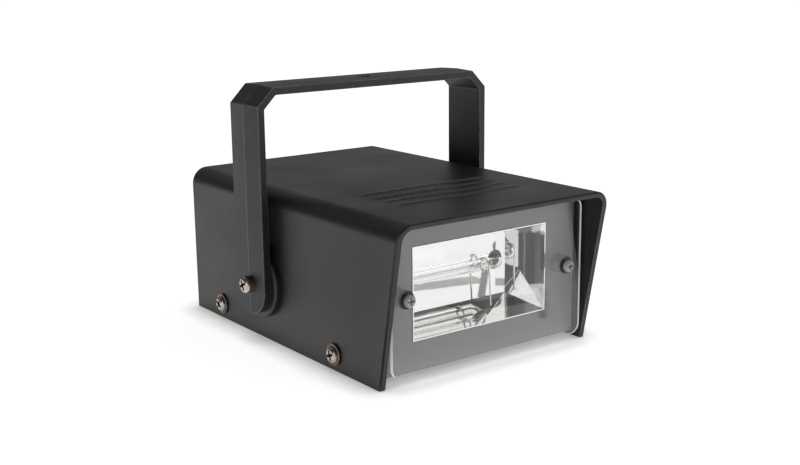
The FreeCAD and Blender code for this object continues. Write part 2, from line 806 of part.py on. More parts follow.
def make_screws():
    foot_screw = small_screw("foot_screw", "foot_screw_length")
    spots = [(("%d * foot_screw_x" % side, y, "base_top + panel_wall"), FreeCAD.Rotation())
             for side in SIDES for y in ("foot_y_front", "foot_y_rear")]
    copies("panel_screws", foot_screw, spots)
    board_screw = small_screw("board_screw", "board_screw_length")
    spots = [(("%d * board_screw_x" % side, y, "board_top"), FreeCAD.Rotation()) for side in SIDES
             for y in ("board_back_y - board_screw_inset", "board_front_y + board_screw_inset")]
    copies("board_screws", board_screw, spots)
    cover_screw = pan_screw("cover_screw", "cover_screw_shank", "cover_screw_length", "cover_screw_head",
                            "cover_screw_rise", "cover_screw_collar", "cover_screw_collar_rise")
    spots = [(("%d * housing_width / 2" % side, y, "cover_screw_height"), towards(side * X_AXIS))
             for side in SIDES for y in ("screw_rear_y", "screw_front_y")]
    copies("cover_screws", cover_screw, spots)


# Optics

def make_reflector():
    """A folded tray: its floor, roof and near side splay out, its far side is nearly square to its back."""
    body = new_body("reflector")

    def section(y, low_x, high_x, height, edge="0"):
        frame = sketch_on(body, "XZ_Plane", "-(%s)" % y)
        half = "(%s) / 2 + %s" % (height, edge)
        return add_rectangle(frame, ("%s - %s" % (low_x, edge), "window_centre - (%s)" % half),
                             ("%s + %s" % (high_x, edge), "window_centre + " + half))

    def loft(kind, edge):
        feature = body.newObject("PartDesign::" + kind, "reflector_loft")
        feature.Profile = section("lip_y", "-window_width / 2", "window_width / 2", "window_height", edge)
        feature.Sections = [section("mirror_y", "reflector_back_low_x", "reflector_back_high_x",
                                    "reflector_back_height", edge)]
        feature.Ruled = True

    loft("AdditiveLoft", "reflector_wall")
    back = section("reflector_back", "reflector_back_low_x", "reflector_back_high_x",
                   "reflector_back_height", "reflector_wall")
    pad(body, back, "reflector_wall")
    flange = section("panel_back + reflector_wall", "-reflector_flange_width / 2",
                     "reflector_flange_width / 2", "reflector_flange_height")
    for side in SIDES:
        add_circle(flange, ("%d * lens_screw_x" % side, "lens_screw_height"), "small_hole")
    pad(body, flange, "reflector_wall")
    loft("SubtractiveLoft", "0")
    slots = sketch_on(body, "XZ_Plane", "-reflector_back")
    for x in TUBE_LEGS:
        add_rectangle(slots, (x + " - slot_width / 2", "slot_z - slot_height / 2"),
                      (x + " + slot_width / 2", "slot_z + slot_height / 2"))
    cuts = pocket(body, slots, "reflector_wall", reverse=True)
    slot_z, wide, tall = size("slot_z"), size("slot_width") / 2, size("slot_height") / 2
    fillet(body, cuts, lambda e: runs_along(e, Y_AXIS) and near(abs(ends_of(e)[0].z - slot_z), tall)
           and any(near(abs(ends_of(e)[0].x - size(x)), wide) for x in TUBE_LEGS),
           "slot_width * slot_round_share")
    trigger = sketch_on(body, "XY_Plane")
    add_circle(trigger, ("trigger_hole_x", "tube_y - trigger_radius"), "trigger_hole")
    pocket(body, trigger, "window_centre", reverse=True)
    return node("reflector", body)


def staple(name, diameter):
    """A round bar bent to a staple: a run along X and two legs back along Y."""
    low, high = "tube_far_leg_x + tube_bend", "tube_leg_x - tube_bend"
    parts = [rod(name + "_run", (low, "tube_y", "tube_z"), X_AXIS, diameter, "%s - (%s)" % (high, low))]
    for end, leg, turn in ((low, "tube_far_leg_x", 180), (high, "tube_leg_x", 270)):
        bend = doc.addObject("Part::Torus", name + "_bend")
        bind(bend, "Radius1", "tube_bend")
        bind(bend, "Radius2", "(%s) / 2" % diameter)
        bend.Angle3 = 90
        parts.append(place(bend, (end, "tube_y + tube_bend", "tube_z"), FreeCAD.Rotation(Z_AXIS, turn)))
        parts.append(rod(name + "_leg", (leg, "tube_y + tube_bend", "tube_z"), Y_AXIS, diameter,
                         "tube_leg_length - tube_bend"))
    return join(name, parts)


def make_flash_tube():
    glass = staple("tube_glass", "tube_diameter")
    bore = staple("tube_bore_space", "tube_bore")
    node("flash_tube", cut("flash_tube", glass, [bore]))
    electrodes, sleeves = [], []
    for x in TUBE_LEGS:
        plug = rod("electrode_plug_rod", (x, "tube_end - electrode_plug_length", "tube_z"), Y_AXIS,
                   "electrode_plug", "electrode_plug_length")
        collar = rod("electrode_collar_rod", (x, "tube_end", "tube_z"), Y_AXIS, "electrode_collar",
                     "electrode_collar_length")
        pin = rod("electrode_pin_rod", (x, "tube_end", "tube_z"), Y_AXIS, "electrode_pin",
                  "electrode_pin_length")
        electrodes.append(join("electrode", [plug, collar, pin]))
        sleeves.append(ring("tube_sleeve", (x, "reflector_back", "tube_z"), Y_AXIS, "sleeve_diameter",
                            "tube_diameter + 2 * sleeve_gap", "sleeve_length"))
    node("tube_electrodes", group("tube_electrodes", electrodes))
    node("tube_sleeves", group("tube_sleeves", sleeves))


def biarc(start, leaving, end, arriving):
    """Two arcs from one point and direction to another, meeting with one tangent between them."""
    chord = end - start
    spread = leaving + arriving
    denominator = 2 * (1 - leaving.dot(arriving))
    if denominator < TOUCH:
        reach = chord.dot(chord) / (4 * chord.dot(arriving))
    else:
        along = chord.dot(spread)
        reach = (-along + math.sqrt(along * along + denominator * chord.dot(chord))) / denominator
    joint = (start + leaving * reach + end - arriving * reach) * 0.5

    def arc(a, tangent, b):
        half = b - a
        centre_side = half - tangent * half.dot(tangent)
        radius = half.dot(half) / (2 * centre_side.Length)
        centre = a + centre_side.normalize() * radius
        middle = centre + ((a + b) * 0.5 - centre).normalize() * radius
        return Part.Arc(a, middle, b).toShape()

    return [arc(start, leaving, joint), arc(end, arriving * -1, joint)]


def make_trigger_wire():
    """Fine wire wound round the tube, then straight down through the reflector's floor."""
    radius = size("trigger_radius")
    axis_y, axis_z = size("tube_y"), size("tube_z")
    pitch, turns = size("trigger_pitch"), size("trigger_turns")
    slope = pitch / (2 * math.pi * radius)

    def on_helix(turn):
        angle = 2 * math.pi * turn
        point = V(size("trigger_start") + pitch * turn, axis_y - radius * math.cos(angle),
                  axis_z - radius * math.sin(angle))
        tangent = V(slope, math.sin(angle), -math.cos(angle)).normalize()
        return point, tangent

    quarter = 0.25
    edges = []
    for k in range(int(round(turns / quarter))):
        edges += biarc(*on_helix(k * quarter), *on_helix((k + 1) * quarter))
    last, down = on_helix(turns)
    floor = size("window_centre") - size("window_height") / 2 - size("trigger_tail")
    edges.append(Part.LineSegment(last, last + down * ((floor - last.z) / down.z)).toShape())
    path = Part.Wire(Part.__sortEdges__(edges))
    start, leaving = on_helix(0)
    ring_wire = Part.Wire(Part.Circle(start, leaving, size("trigger_wire_diameter") / 2).toShape())
    shell = Part.BRepOffsetAPI.MakePipeShell(path)
    shell.add(ring_wire)
    shell.build()
    shell.makeSolid()
    wire = doc.addObject("Part::Feature", "trigger_wire")
    wire.Shape = shell.shape()
    wire.Placement = FreeCAD.Placement()
    section = math.pi * size("trigger_wire_diameter") ** 2 / 4
    print("trigger wire: volume over section times length", wire.Shape.Volume / (section * path.Length))
    per_turn = 48
    points = [on_helix(k / per_turn)[0] for k in range(int(per_turn * turns) + 1)]
    gap = min((a - b).Length for i, a in enumerate(points) for b in points[i + per_turn // 2:])
    print("trigger wire: least gap to itself", gap - size("trigger_wire_diameter"))
    return node("trigger_wire", wire)


def make_tube_board():
    low = "tube_z - tube_board_height / 2"
    sheet = block("tube_board_sheet", ("tube_board_low_x", "tube_board_face", low),
                  ("tube_board_width", "board_wall", "tube_board_height"))
    holes = [rod("pin_hole", (x, "tube_board_face", "tube_z"), Y_AXIS, "electrode_pin + 2 * nut_bore_gap",
                 "board_wall") for x in TUBE_LEGS]
    posts, spots = [], []
    for side in SIDES:
        x = "%d * tube_board_post_x" % side
        holes.append(rod("post_hole", (x, "tube_board_face", "tube_z"), Y_AXIS, "small_hole", "board_wall"))
        posts.append(ring("tube_board_post", (x, "reflector_back", "tube_z"), Y_AXIS, "tube_board_post",
                          "small_hole", "tube_board_face - reflector_back"))
        spots.append(((x, "tube_board_face + board_wall", "tube_z"), towards(Y_AXIS)))
    node("tube_board", cut("tube_board", sheet, holes))
    node("tube_board_posts", group("tube_board_posts", posts))
    copies("tube_board_screws", small_screw("tube_board_screw", "tube_board_screw_length"), spots)


# Main circuit board

def make_circuit_board():
    sheet = block("board_sheet", ("-board_width / 2", "board_front_y", "board_bottom"),
                  ("board_width", "board_length", "board_wall"))
    holes, spacers = [], []
    for side in SIDES:
        for y in ("board_back_y - board_screw_inset", "board_front_y + board_screw_inset"):
            x = "%d * board_screw_x" % side
            holes.append(rod("board_hole", (x, y, "board_bottom"), Z_AXIS, "small_hole", "board_wall"))
            spacers.append(ring("board_spacer", (x, y, "base_top"), Z_AXIS, "spacer_diameter", "small_hole",
                                "spacer_height"))
    node("circuit_board", cut("circuit_board", sheet, holes))
    node("board_spacers", group("board_spacers", spacers))


def make_capacitors():
    master = new_body("flash_capacitor")
    rim, waist = "capacitor_diameter / 2", "capacitor_diameter / 2 - seam_groove"
    outline = [("0", "0"), (rim, "0"), (rim, "seam_height"), (waist, "seam_height + seam_groove"),
               (rim, "seam_height + 2 * seam_groove"), (rim, "capacitor_height - seam_groove"),
               (waist, "capacitor_height"), ("0", "capacitor_height")]
    revolve(master, add_loop(sketch_on(master, "XZ_Plane"), outline))
    spots = [(("capacitor_x + %d * capacitor_pitch" % k, "capacitor_y", "board_top"),
              FreeCAD.Rotation()) for k in range(int(size("capacitor_count")))]
    copies("flash_capacitors", master, spots)


def make_trigger_parts():
    at = ("transformer_x", "transformer_y", "board_top")
    winding = rod("transformer_winding", at, Z_AXIS, "transformer_diameter", "transformer_height")
    core = rod("transformer_core_rod", at, Z_AXIS, "transformer_core",
               "transformer_height + transformer_core_rise")
    node("trigger_transformer", join("trigger_transformer", [winding, core]))
    body = new_body("trigger_capacitor")
    base = sketch_on(body, "XY_Plane", "board_top")
    add_rectangle(base, ("film_x - film_length / 2", "film_y - film_width / 2"),
                  ("film_x + film_length / 2", "film_y + film_width / 2"))
    brick = pad(body, base, "film_height")
    low = size("board_top")
    fillet(body, brick, lambda e: max(p.z for p in ends_of(e)) > low + size("film_round"), "film_round")
    node("trigger_capacitor", body)


def make_thyristor():
    x, y = "thyristor_x", "thyristor_y"
    foot = "board_top + thyristor_lift"
    case = block("thyristor_case", (x + " - thyristor_width / 2", y + " - thyristor_wall", foot),
                 ("thyristor_width", "thyristor_wall - thyristor_tab_wall", "thyristor_height"))
    tab = block("thyristor_tab", (x + " - thyristor_width / 2", y + " - thyristor_tab_wall", foot),
                ("thyristor_width", "thyristor_tab_wall", "thyristor_tab_height"))
    hole = rod("thyristor_hole_rod", (x, y + " - thyristor_tab_wall",
                                      foot + " + thyristor_tab_height - thyristor_hole_drop"), Y_AXIS,
               "thyristor_hole", "thyristor_tab_wall")
    legs = [block("thyristor_leg_bar", (x + " - thyristor_leg / 2 + %d * thyristor_leg_pitch" % k,
                                        y + " - thyristor_wall / 2", "board_top"),
                  ("thyristor_leg", "thyristor_leg", "thyristor_lift")) for k in (-1, 0, 1)]
    node("thyristor", cut("thyristor", join("thyristor_solid", [case, tab] + legs), [hole]))


def make_power_resistor():
    x, y = "resistor_x", "resistor_y"
    brick = block("resistor_brick", (x + " - resistor_width / 2", y + " - resistor_length / 2",
                                     "board_top + resistor_lift"),
                  ("resistor_width", "resistor_length", "resistor_height"))
    ends = [y + " + %d * (resistor_length / 2 - resistor_lead)" % side for side in SIDES]
    leads = [rod("resistor_lead_rod", (x, end, "board_top"), Z_AXIS, "resistor_lead", "resistor_lift")
             for end in ends]
    node("power_resistor", join("power_resistor", [brick] + leads))


def make_diodes():
    diodes = []
    for k in range(int(size("diode_count"))):
        y = "diode_y + %d * diode_pitch" % k
        z = "board_top + diode_lift"
        case = rod("diode_case", ("diode_x - diode_length / 2", y, z), X_AXIS, "diode_diameter",
                   "diode_length")
        wire = rod("diode_wire", ("diode_x - diode_span / 2", y, z), X_AXIS, "diode_lead", "diode_span")
        legs = [rod("diode_leg", ("diode_x + %d * (diode_span - diode_lead) / 2" % side, y, "board_top"),
                    Z_AXIS, "diode_lead", "diode_lift") for side in SIDES]
        diodes.append(join("diode", [case, wire] + legs))
    node("rectifier_diodes", group("rectifier_diodes", diodes))


def make_fuse():
    x, y = "fuse_x", "fuse_y"
    z = "board_top + fuse_lift + fuse_cap_diameter / 2"
    glass = rod("fuse_glass", (x + " - fuse_length / 2", y, z), X_AXIS, "fuse_diameter", "fuse_length")
    caps, clips = [], []
    for side in SIDES:
        middle = x + " + %d * (fuse_length - fuse_cap_length) / 2" % side
        caps.append(rod("fuse_cap", (middle + " - fuse_cap_length / 2", y, z), X_AXIS, "fuse_cap_diameter",
                        "fuse_cap_length"))
        outer = block("clip_outer", (middle + " - clip_width / 2",
                                     y + " - fuse_cap_diameter / 2 - clip_wall - nut_bore_gap", "board_top"),
                      ("clip_width", "fuse_cap_diameter + 2 * (clip_wall + nut_bore_gap)", "clip_height"))
        space = block("clip_space", (middle + " - clip_width / 2",
                                     y + " - fuse_cap_diameter / 2 - nut_bore_gap", "board_top + clip_wall"),
                      ("clip_width", "fuse_cap_diameter + 2 * nut_bore_gap", "clip_height"))
        clips.append(cut("fuse_clip", outer, [space]))
    node("board_fuse", join("board_fuse", [glass] + caps))
    node("fuse_clips", group("fuse_clips", clips))


def make_terminal():
    x, y = "terminal_x", "terminal_y"
    brick = block("terminal_brick", (x + " - terminal_length / 2", y + " - terminal_width / 2", "board_top"),
                  ("terminal_length", "terminal_width", "terminal_height"))
    tools, screws = [], []
    for side in SIDES:
        middle = x + " + %d * terminal_pitch / 2" % side
        port = (middle + " - terminal_port / 2", y, "board_top + terminal_port / 2")
        tools.append(block("terminal_port_space", port, ("terminal_port", "terminal_width", "terminal_port")))
        seat = (middle, y, "board_top + terminal_height - terminal_screw_depth")
        tools.append(rod("terminal_screw_space", seat, Z_AXIS, "terminal_screw_diameter + 2 * nut_bore_gap",
                         "terminal_screw_depth"))
        head = rod("terminal_screw_head", seat, Z_AXIS, "terminal_screw_diameter",
                   "terminal_screw_depth - terminal_screw_sink")
        low = "board_top + terminal_height - terminal_screw_sink - terminal_slot_depth"
        slot = block("terminal_screw_slot",
                     (middle + " - terminal_slot / 2", y + " - terminal_screw_diameter", low),
                     ("terminal_slot", "2 * terminal_screw_diameter", "2 * terminal_slot_depth"))
        screws.append(cut("terminal_screw", head, [slot]))
    node("mains_terminal", cut("mains_terminal", brick, tools))
    node("terminal_screws", group("terminal_screws", screws))


# Rate control and supply inlet on the rear panel

def make_rate_control():
    def at(y):
        return ("pot_x", y, "pot_height")

    can = rod("pot_can", at("rear_inner"), -Y_AXIS, "pot_diameter", "pot_length")
    bush = rod("pot_bush", at("rear_inner"), Y_AXIS, "bush_diameter", "bush_length")
    pins = [block("pot_pin", ("pot_x - pot_pin_width / 2 + %d * pot_pin_pitch" % k,
                              "rear_inner - pot_length / 2",
                              "pot_height - pot_diameter / 2 - pot_pin_length / 2"),
                  ("pot_pin_width", "pot_pin_wall", "pot_pin_length")) for k in (-1, 0, 1)]
    bore = rod("pot_bore", at("rear_inner - shaft_depth"), Y_AXIS, "shaft_diameter + 2 * shaft_gap",
               "shaft_depth + bush_length")
    node("rate_potentiometer", cut("rate_potentiometer", join("pot_solid", [can, bush] + pins), [bore]))
    node("pot_washer", ring("pot_washer", at("rear_face"), Y_AXIS, "pot_washer_diameter",
                            "bush_diameter + 2 * nut_bore_gap", "pot_washer_wall"))
    seat = at("rear_face + pot_washer_wall")
    nut = hexagon("pot_nut_body", seat, Y_AXIS, "pot_nut_flats", "pot_nut_height")
    hole = rod("pot_nut_hole", seat, Y_AXIS, "bush_diameter + 2 * nut_bore_gap", "pot_nut_height")
    node("pot_nut", cut("pot_nut", nut, [hole]))
    start = "rear_inner - shaft_depth + fit_gap"
    node("pot_shaft", rod("pot_shaft", at(start), Y_AXIS, "shaft_diameter",
                          "knob_end - knob_cap - (%s)" % start))


def make_rate_knob():
    body = new_body("rate_knob")
    skirt, top = "knob_skirt / 2", "knob_top / 2"
    hub, cavity = "shaft_diameter / 2 + knob_bore_gap", "knob_cavity / 2"
    outline = [("0", "knob_length"), ("0", "knob_length - knob_cap"), (hub, "knob_length - knob_cap"),
               (hub, "knob_cavity_depth"), (cavity, "knob_cavity_depth"), (cavity, "0"), (skirt, "0"),
               (top, "knob_length - knob_edge"), (top + " - knob_edge", "knob_length")]
    revolve(body, add_loop(sketch_on(body, "XZ_Plane"), outline))
    doc.recompute()
    groove = sketch_on(body, "XY_Plane", "knob_length")
    add_rectangle(groove, ("knob_top / 2 - knob_flute_depth", "-knob_flute_width / 2"),
                  ("knob_skirt / 2 + overrun", "knob_flute_width / 2"))
    flute = pocket(body, groove, "knob_length - knob_cavity_depth / 2")
    doc.recompute()
    pattern = body.newObject("PartDesign::PolarPattern", "knob_flute_pattern")
    pattern.Originals = [flute]
    pattern.Axis = (groove, ["N_Axis"])
    pattern.Angle = 360.0
    bind(pattern, "Occurrences", "knob_flutes")
    body.Tip = pattern
    doc.recompute()
    line = sketch_on(body, "XY_Plane", "knob_length")
    add_rectangle(line, ("-pointer_width / 2", "0"), ("pointer_width / 2", "pointer_length"))
    pocket(body, line, "pointer_depth")
    upright = FreeCAD.Rotation(X_AXIS, -90) * FreeCAD.Rotation(Z_AXIS, 180)
    place(body, ("pot_x", "knob_base", "pot_height"), upright)
    node("rate_knob", body)
    node("knob_pointer", block("knob_pointer", ("pot_x - pointer_width / 2", "knob_end - pointer_depth",
                                                "pot_height"),
                               ("pointer_width", "pointer_depth", "pointer_length")))


def make_cable_grommet():
    body = new_body("cable_grommet")
    bore, neck, rim = "inlet_bore / 2", "inlet_neck / 2", "inlet_flange / 2"
    low, high = "inlet_flange_wall", "inlet_flange_wall + panel_wall"
    end = "2 * inlet_flange_wall + panel_wall"
    outline = [(bore, "0"), (rim, "0"), (rim, low), (neck, low), (neck, high), (rim, high),
               (rim + " - inlet_flange_wall / 2", end), (bore, end)]
    revolve(body, add_loop(sketch_on(body, "XZ_Plane"), outline))
    place(body, ("inlet_x", "rear_inner - inlet_flange_wall", "inlet_height"), towards(Y_AXIS))
    return node("cable_grommet", body)


# Bracket and pivots

def make_handle_bracket():
    """A strap with a low ridge along the middle of its outer face, led round the cut corners."""
    body = new_body("handle_bracket")
    under = "strap_top - strap_wall"
    section = sketch_on(body, "XY_Plane", "strap_low")
    front, rear = "pivot_y - strap_width / 2", "pivot_y + strap_width / 2"
    add_loop(section, [("-strap_inner", front), ("-strap_inner", rear), ("-strap_outer + strap_ridge", rear),
                       ("-strap_outer", "pivot_y"), ("-strap_outer + strap_ridge", front)])
    line = sketch_on(body, "XZ_Plane", "-pivot_y")
    add_path(line, [("-strap_inner", "strap_low"), ("-strap_inner", under + " - inner_cut"),
                    ("-strap_inner + inner_cut", under), ("strap_inner - inner_cut", under),
                    ("strap_inner", under + " - inner_cut"), ("strap_inner", "strap_low")])
    strap = body.newObject("PartDesign::AdditivePipe", "strap_pipe")
    strap.Profile = section
    strap.Spine = (line, ["Edge%d" % (k + 1) for k in range(5)])
    strap.Transition = "Right corner"
    doc.recompute()
    bottom = size("strap_low")
    fillet(body, strap, lambda e: runs_along(e, X_AXIS) and near(ends_of(e)[0].z, bottom),
           "strap_width * strap_round_share")
    holes = sketch_on(body, "YZ_Plane")
    add_circle(holes, ("pivot_y", "pivot_height"), "pivot_shank + 2 * pivot_running_gap")
    pocket(body, holes)
    fixing = sketch_on(body, "XY_Plane")
    add_circle(fixing, ("0", "pivot_y"), "bracket_hole")
    pocket(body, fixing)
    return node("handle_bracket", body)


def make_pivots():
    spacer = new_body("pivot_spacer")
    outline = [("pivot_shank / 2 + pivot_hole_gap", "0"), ("pivot_spacer_diameter / 2", "0"),
               ("pivot_spacer_diameter / 2", "pivot_spacer_wall"),
               ("pivot_shank / 2 + pivot_hole_gap", "pivot_spacer_wall")]
    disc = revolve(spacer, add_loop(sketch_on(spacer, "XZ_Plane"), outline))
    rim = size("pivot_spacer_diameter") / 2
    fillet(spacer, disc, lambda e: e.Curve.TypeId == "Part::GeomCircle" and near(e.Curve.Radius, rim)
           and near(e.Curve.Center.z, size("pivot_spacer_wall")), "pivot_spacer_round")
    screw = pan_screw("pivot_screw", "pivot_shank", "pivot_length", "pivot_head", "pivot_rise")
    spots = {"pivot_spacers": "housing_width / 2", "pivot_screws": "strap_outer + lock_washer_wall"}
    for label, master in (("pivot_spacers", spacer), ("pivot_screws", screw)):
        copies(label, master, [(("%d * (%s)" % (side, spots[label]), "pivot_y", "pivot_height"),
                                towards(side * X_AXIS)) for side in SIDES])
    washers, nuts = [], []
    for side in SIDES:
        seat = ("%d * strap_outer" % side, "pivot_y", "pivot_height")
        out = side * X_AXIS
        band = ring("lock_washer_ring", seat, out, "lock_washer_diameter", "pivot_shank + 2 * pivot_hole_gap",
                    "lock_washer_wall")
        split = block("lock_washer_split_space", ("%d * strap_outer - %s" % (
            side, "0" if side > 0 else "lock_washer_wall"), "pivot_y - lock_washer_split / 2",
            "pivot_height - lock_washer_diameter"),
            ("lock_washer_wall", "lock_washer_split", "lock_washer_diameter"))
        washers.append(cut("lock_washer", band, [split]))
        inside = ("%d * inner_half" % side, "pivot_y", "pivot_height")
        body = hexagon("pivot_nut_body", inside, -out, "pivot_nut_flats", "pivot_nut_height")
        hole = rod("pivot_nut_hole", inside, -out, "pivot_shank + 2 * nut_bore_gap", "pivot_nut_height")
        nuts.append(cut("pivot_nut", body, [hole]))
    node("pivot_lock_washers", group("pivot_lock_washers", washers))
    node("pivot_nuts", group("pivot_nuts", nuts))


# Wires inside, held at both ends

def run_wire(name, points, diameter):
    """A round wire of straight runs joined by tangent arcs, each as large as its two runs allow."""
    edges = []
    here = points[0]
    for before, corner, after in zip(points, points[1:], points[2:]):
        back, ahead = (before - corner), (after - corner)
        shorter = min(back.Length, ahead.Length)
        back.normalize()
        ahead.normalize()
        reach = size("bend_share") * shorter
        start, end = corner + back * reach, corner + ahead * reach
        half_turn = (math.pi - back.getAngle(ahead)) / 2
        radius = reach / math.tan(half_turn)
        bisector = (back + ahead).normalize()
        middle = corner + bisector * (radius / math.cos(half_turn) - radius)
        edges.append(Part.LineSegment(here, start).toShape())
        edges.append(Part.Arc(start, middle, end).toShape())
        here = end
        print(name, "bend radius", round(radius, 2))
    edges.append(Part.LineSegment(here, points[-1]).toShape())
    path = Part.Wire(edges)
    section = Part.Wire(Part.Circle(points[0], points[1] - points[0], diameter / 2).toShape())
    shape = path.makePipeShell([section], True, False)
    area = math.pi * diameter ** 2 / 4
    print(name, "volume over section times length", shape.Volume / (area * path.Length))
    wire = doc.addObject("Part::Feature", name)
    wire.Shape = shape
    wire.Placement = FreeCAD.Placement()
    return wire


def make_leads():
    board = size("board_top")
    tube_leads, pot_leads = [], []
    for side, leg in zip(SIDES, TUBE_LEGS):
        x = size(leg)
        y = size("tube_board_face") + size("board_wall")
        z = size("tube_z") - size("lead_drop")
        reach = size("lead_reach")
        points = [V(x, y, z), V(x, y + reach, z), V(x, y + reach, board)]
        tube_leads.append(run_wire("tube_lead", points, size("lead_diameter")))
        x = size("pot_x") + side * size("pot_pin_pitch")
        y = size("rear_inner") - (size("pot_length") - size("pot_pin_wall")) / 2
        z = size("pot_height") - (size("pot_diameter") + size("pot_pin_length")) / 2
        reach = size("pot_lead_reach")
        points = [V(x, y, z), V(x, y, z - reach), V(x, y - reach, z - 2 * reach), V(x, y - reach, board)]
        pot_leads.append(run_wire("pot_lead", points, size("pot_lead_diameter")))
    node("tube_leads", group("tube_leads", tube_leads))
    node("pot_leads", group("pot_leads", pot_leads))


def make_all():
    make_top_cover()
    make_base_pan()
    make_front_panel()
    make_rear_panel()
    make_front_lens()
    make_lens_hardware()
    make_screws()
    make_reflector()
    make_flash_tube()
    make_trigger_wire()
    make_tube_board()
    make_circuit_board()
    make_capacitors()
    make_trigger_parts()
    make_thyristor()
    make_power_resistor()
    make_diodes()
    make_fuse()
    make_terminal()
    make_rate_control()
    make_rate_knob()
    make_cable_grommet()
    make_handle_bracket()
    make_pivots()
    make_leads()


def check_and_export():
    doc.recompute()
    for thing in doc.Objects:
        if "Invalid" in thing.State or "Error" in thing.State:
            raise RuntimeError("%s failed: %s" % (thing.Label, thing.State))
    for label, thing in NODES.items():
        shape = thing.Shape
        if shape.isNull() or not shape.isValid() or not shape.Solids:
            raise RuntimeError(label + " has no valid solid")
    os.makedirs("parts", exist_ok=True)
    for label, thing in NODES.items():
        thing.Shape.exportStep("parts/%s.step" % label)
    print(len(NODES), "nodes written")


make_all()
check_and_export()
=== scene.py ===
# %% [markdown]
# # A small xenon stroboscope, dressed for its portrait
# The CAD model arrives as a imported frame: every solid at its real size, in metres, standing where it
# belongs. Blender adds what the solids lack, which is finish. Nothing of the frame is moved. A CAD
# solid either keeps its shape and gets a better material, or a finer piece stands in for it.

# %% Load the frame and keep its box
import math

import bpy
from mathutils import Matrix, Vector


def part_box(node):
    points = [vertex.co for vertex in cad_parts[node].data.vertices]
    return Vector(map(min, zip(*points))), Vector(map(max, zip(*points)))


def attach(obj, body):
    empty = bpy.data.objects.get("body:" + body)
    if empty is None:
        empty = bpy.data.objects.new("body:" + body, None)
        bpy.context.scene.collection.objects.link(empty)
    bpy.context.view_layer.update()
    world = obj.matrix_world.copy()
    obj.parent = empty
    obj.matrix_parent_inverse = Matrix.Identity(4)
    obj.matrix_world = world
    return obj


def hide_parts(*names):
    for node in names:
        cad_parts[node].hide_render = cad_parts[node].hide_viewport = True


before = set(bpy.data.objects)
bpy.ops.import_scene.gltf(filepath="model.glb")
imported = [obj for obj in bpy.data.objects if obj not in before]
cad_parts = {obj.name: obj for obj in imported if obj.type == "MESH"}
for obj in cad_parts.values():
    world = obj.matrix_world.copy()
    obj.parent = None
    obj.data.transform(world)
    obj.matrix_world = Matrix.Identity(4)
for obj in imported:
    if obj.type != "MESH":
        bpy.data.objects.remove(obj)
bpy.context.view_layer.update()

# %% [markdown]
# ## Sizes and colours
# The maker's drawings are in millimetres and Blender works in metres, so one helper turns one into
# the other. Colours are picked as sRGB hex values, as a paint card gives them, and the shader nodes
# want linear light, so a second helper does that sum in one place.

# %% Sizes and colours
def mm(length):
    """Millimetres to metres."""
    return length / 1000


def linear(hex_colour):
    """An sRGB hex colour as the linear colour that a node takes."""
    parts = [int(hex_colour[start:start + 2], 16) / 255 for start in (1, 3, 5)]
    bright = [part / 12.92 if part <= 0.04045 else ((part + 0.055) / 1.055) ** 2.4 for part in parts]
    return (*bright, 1)


print("mid grey is", round(linear("#808080")[0], 3), "in linear light")

# %% [markdown]
# ## One helper for shader nodes
# A material is a chain of nodes: something reads a place on the piece, something makes a pattern of
# it, and the shader takes the result. One helper adds any node, sets its sockets or properties and
# links what feeds it, so that each material below reads from top to bottom.

# %% Nodes and materials
def add_node(material, kind, settings, links=None):
    """Add a node, set its sockets and properties, and link the sources that feed it."""
    node = material.node_tree.nodes.new(kind)
    for key, value in settings.items():
        if isinstance(key, int) or key in node.inputs:
            node.inputs[key].default_value = value
        else:
            setattr(node, key, value)
    for key, source in (links or {}).items():
        material.node_tree.links.new(source, node.inputs[key])
    return node


def new_material(name):
    """An empty material, with the place on the piece in metres as its first node."""
    material = bpy.data.materials.new(name)
    material.use_nodes = True
    material.node_tree.nodes.clear()
    place = add_node(material, "ShaderNodeTexCoord", {})
    return material, place.outputs["Object"]


def close_material(material, settings, links):
    """The shader and the output that every material here ends in."""
    shader = add_node(material, "ShaderNodeBsdfPrincipled", settings, links)
    add_node(material, "ShaderNodeOutputMaterial", {}, {"Surface": shader.outputs["BSDF"]})
    return material


# %% [markdown]
# ## Moulded plastic
# The cover, the bracket and the base are injection-moulded ABS. The steel mould is spark-eroded, so
# the skin has an even matt grain of a few tenths of a millimetre. That grain breaks the highlights,
# which is why black ABS reads as a soft dark grey. Here a fine noise lifts the surface by less than
# a tenth of a millimetre and flecks its tone, and a slow noise varies the tone and the gloss where
# hands have polished it. The real grain is finer than a pixel, so it is drawn about three times
# coarser.

# %% A moulded skin
hand_patch = 38              # millimetres across a patch that hands have polished
noise_range = (0.3, 0.7)      # a noise texture's values lie mostly between these two
fleck_range = (0.35, 0.65)    # a little narrower, so that the flecks are crisp
gloss_swing = 0.05            # how far the roughness strays from its middle


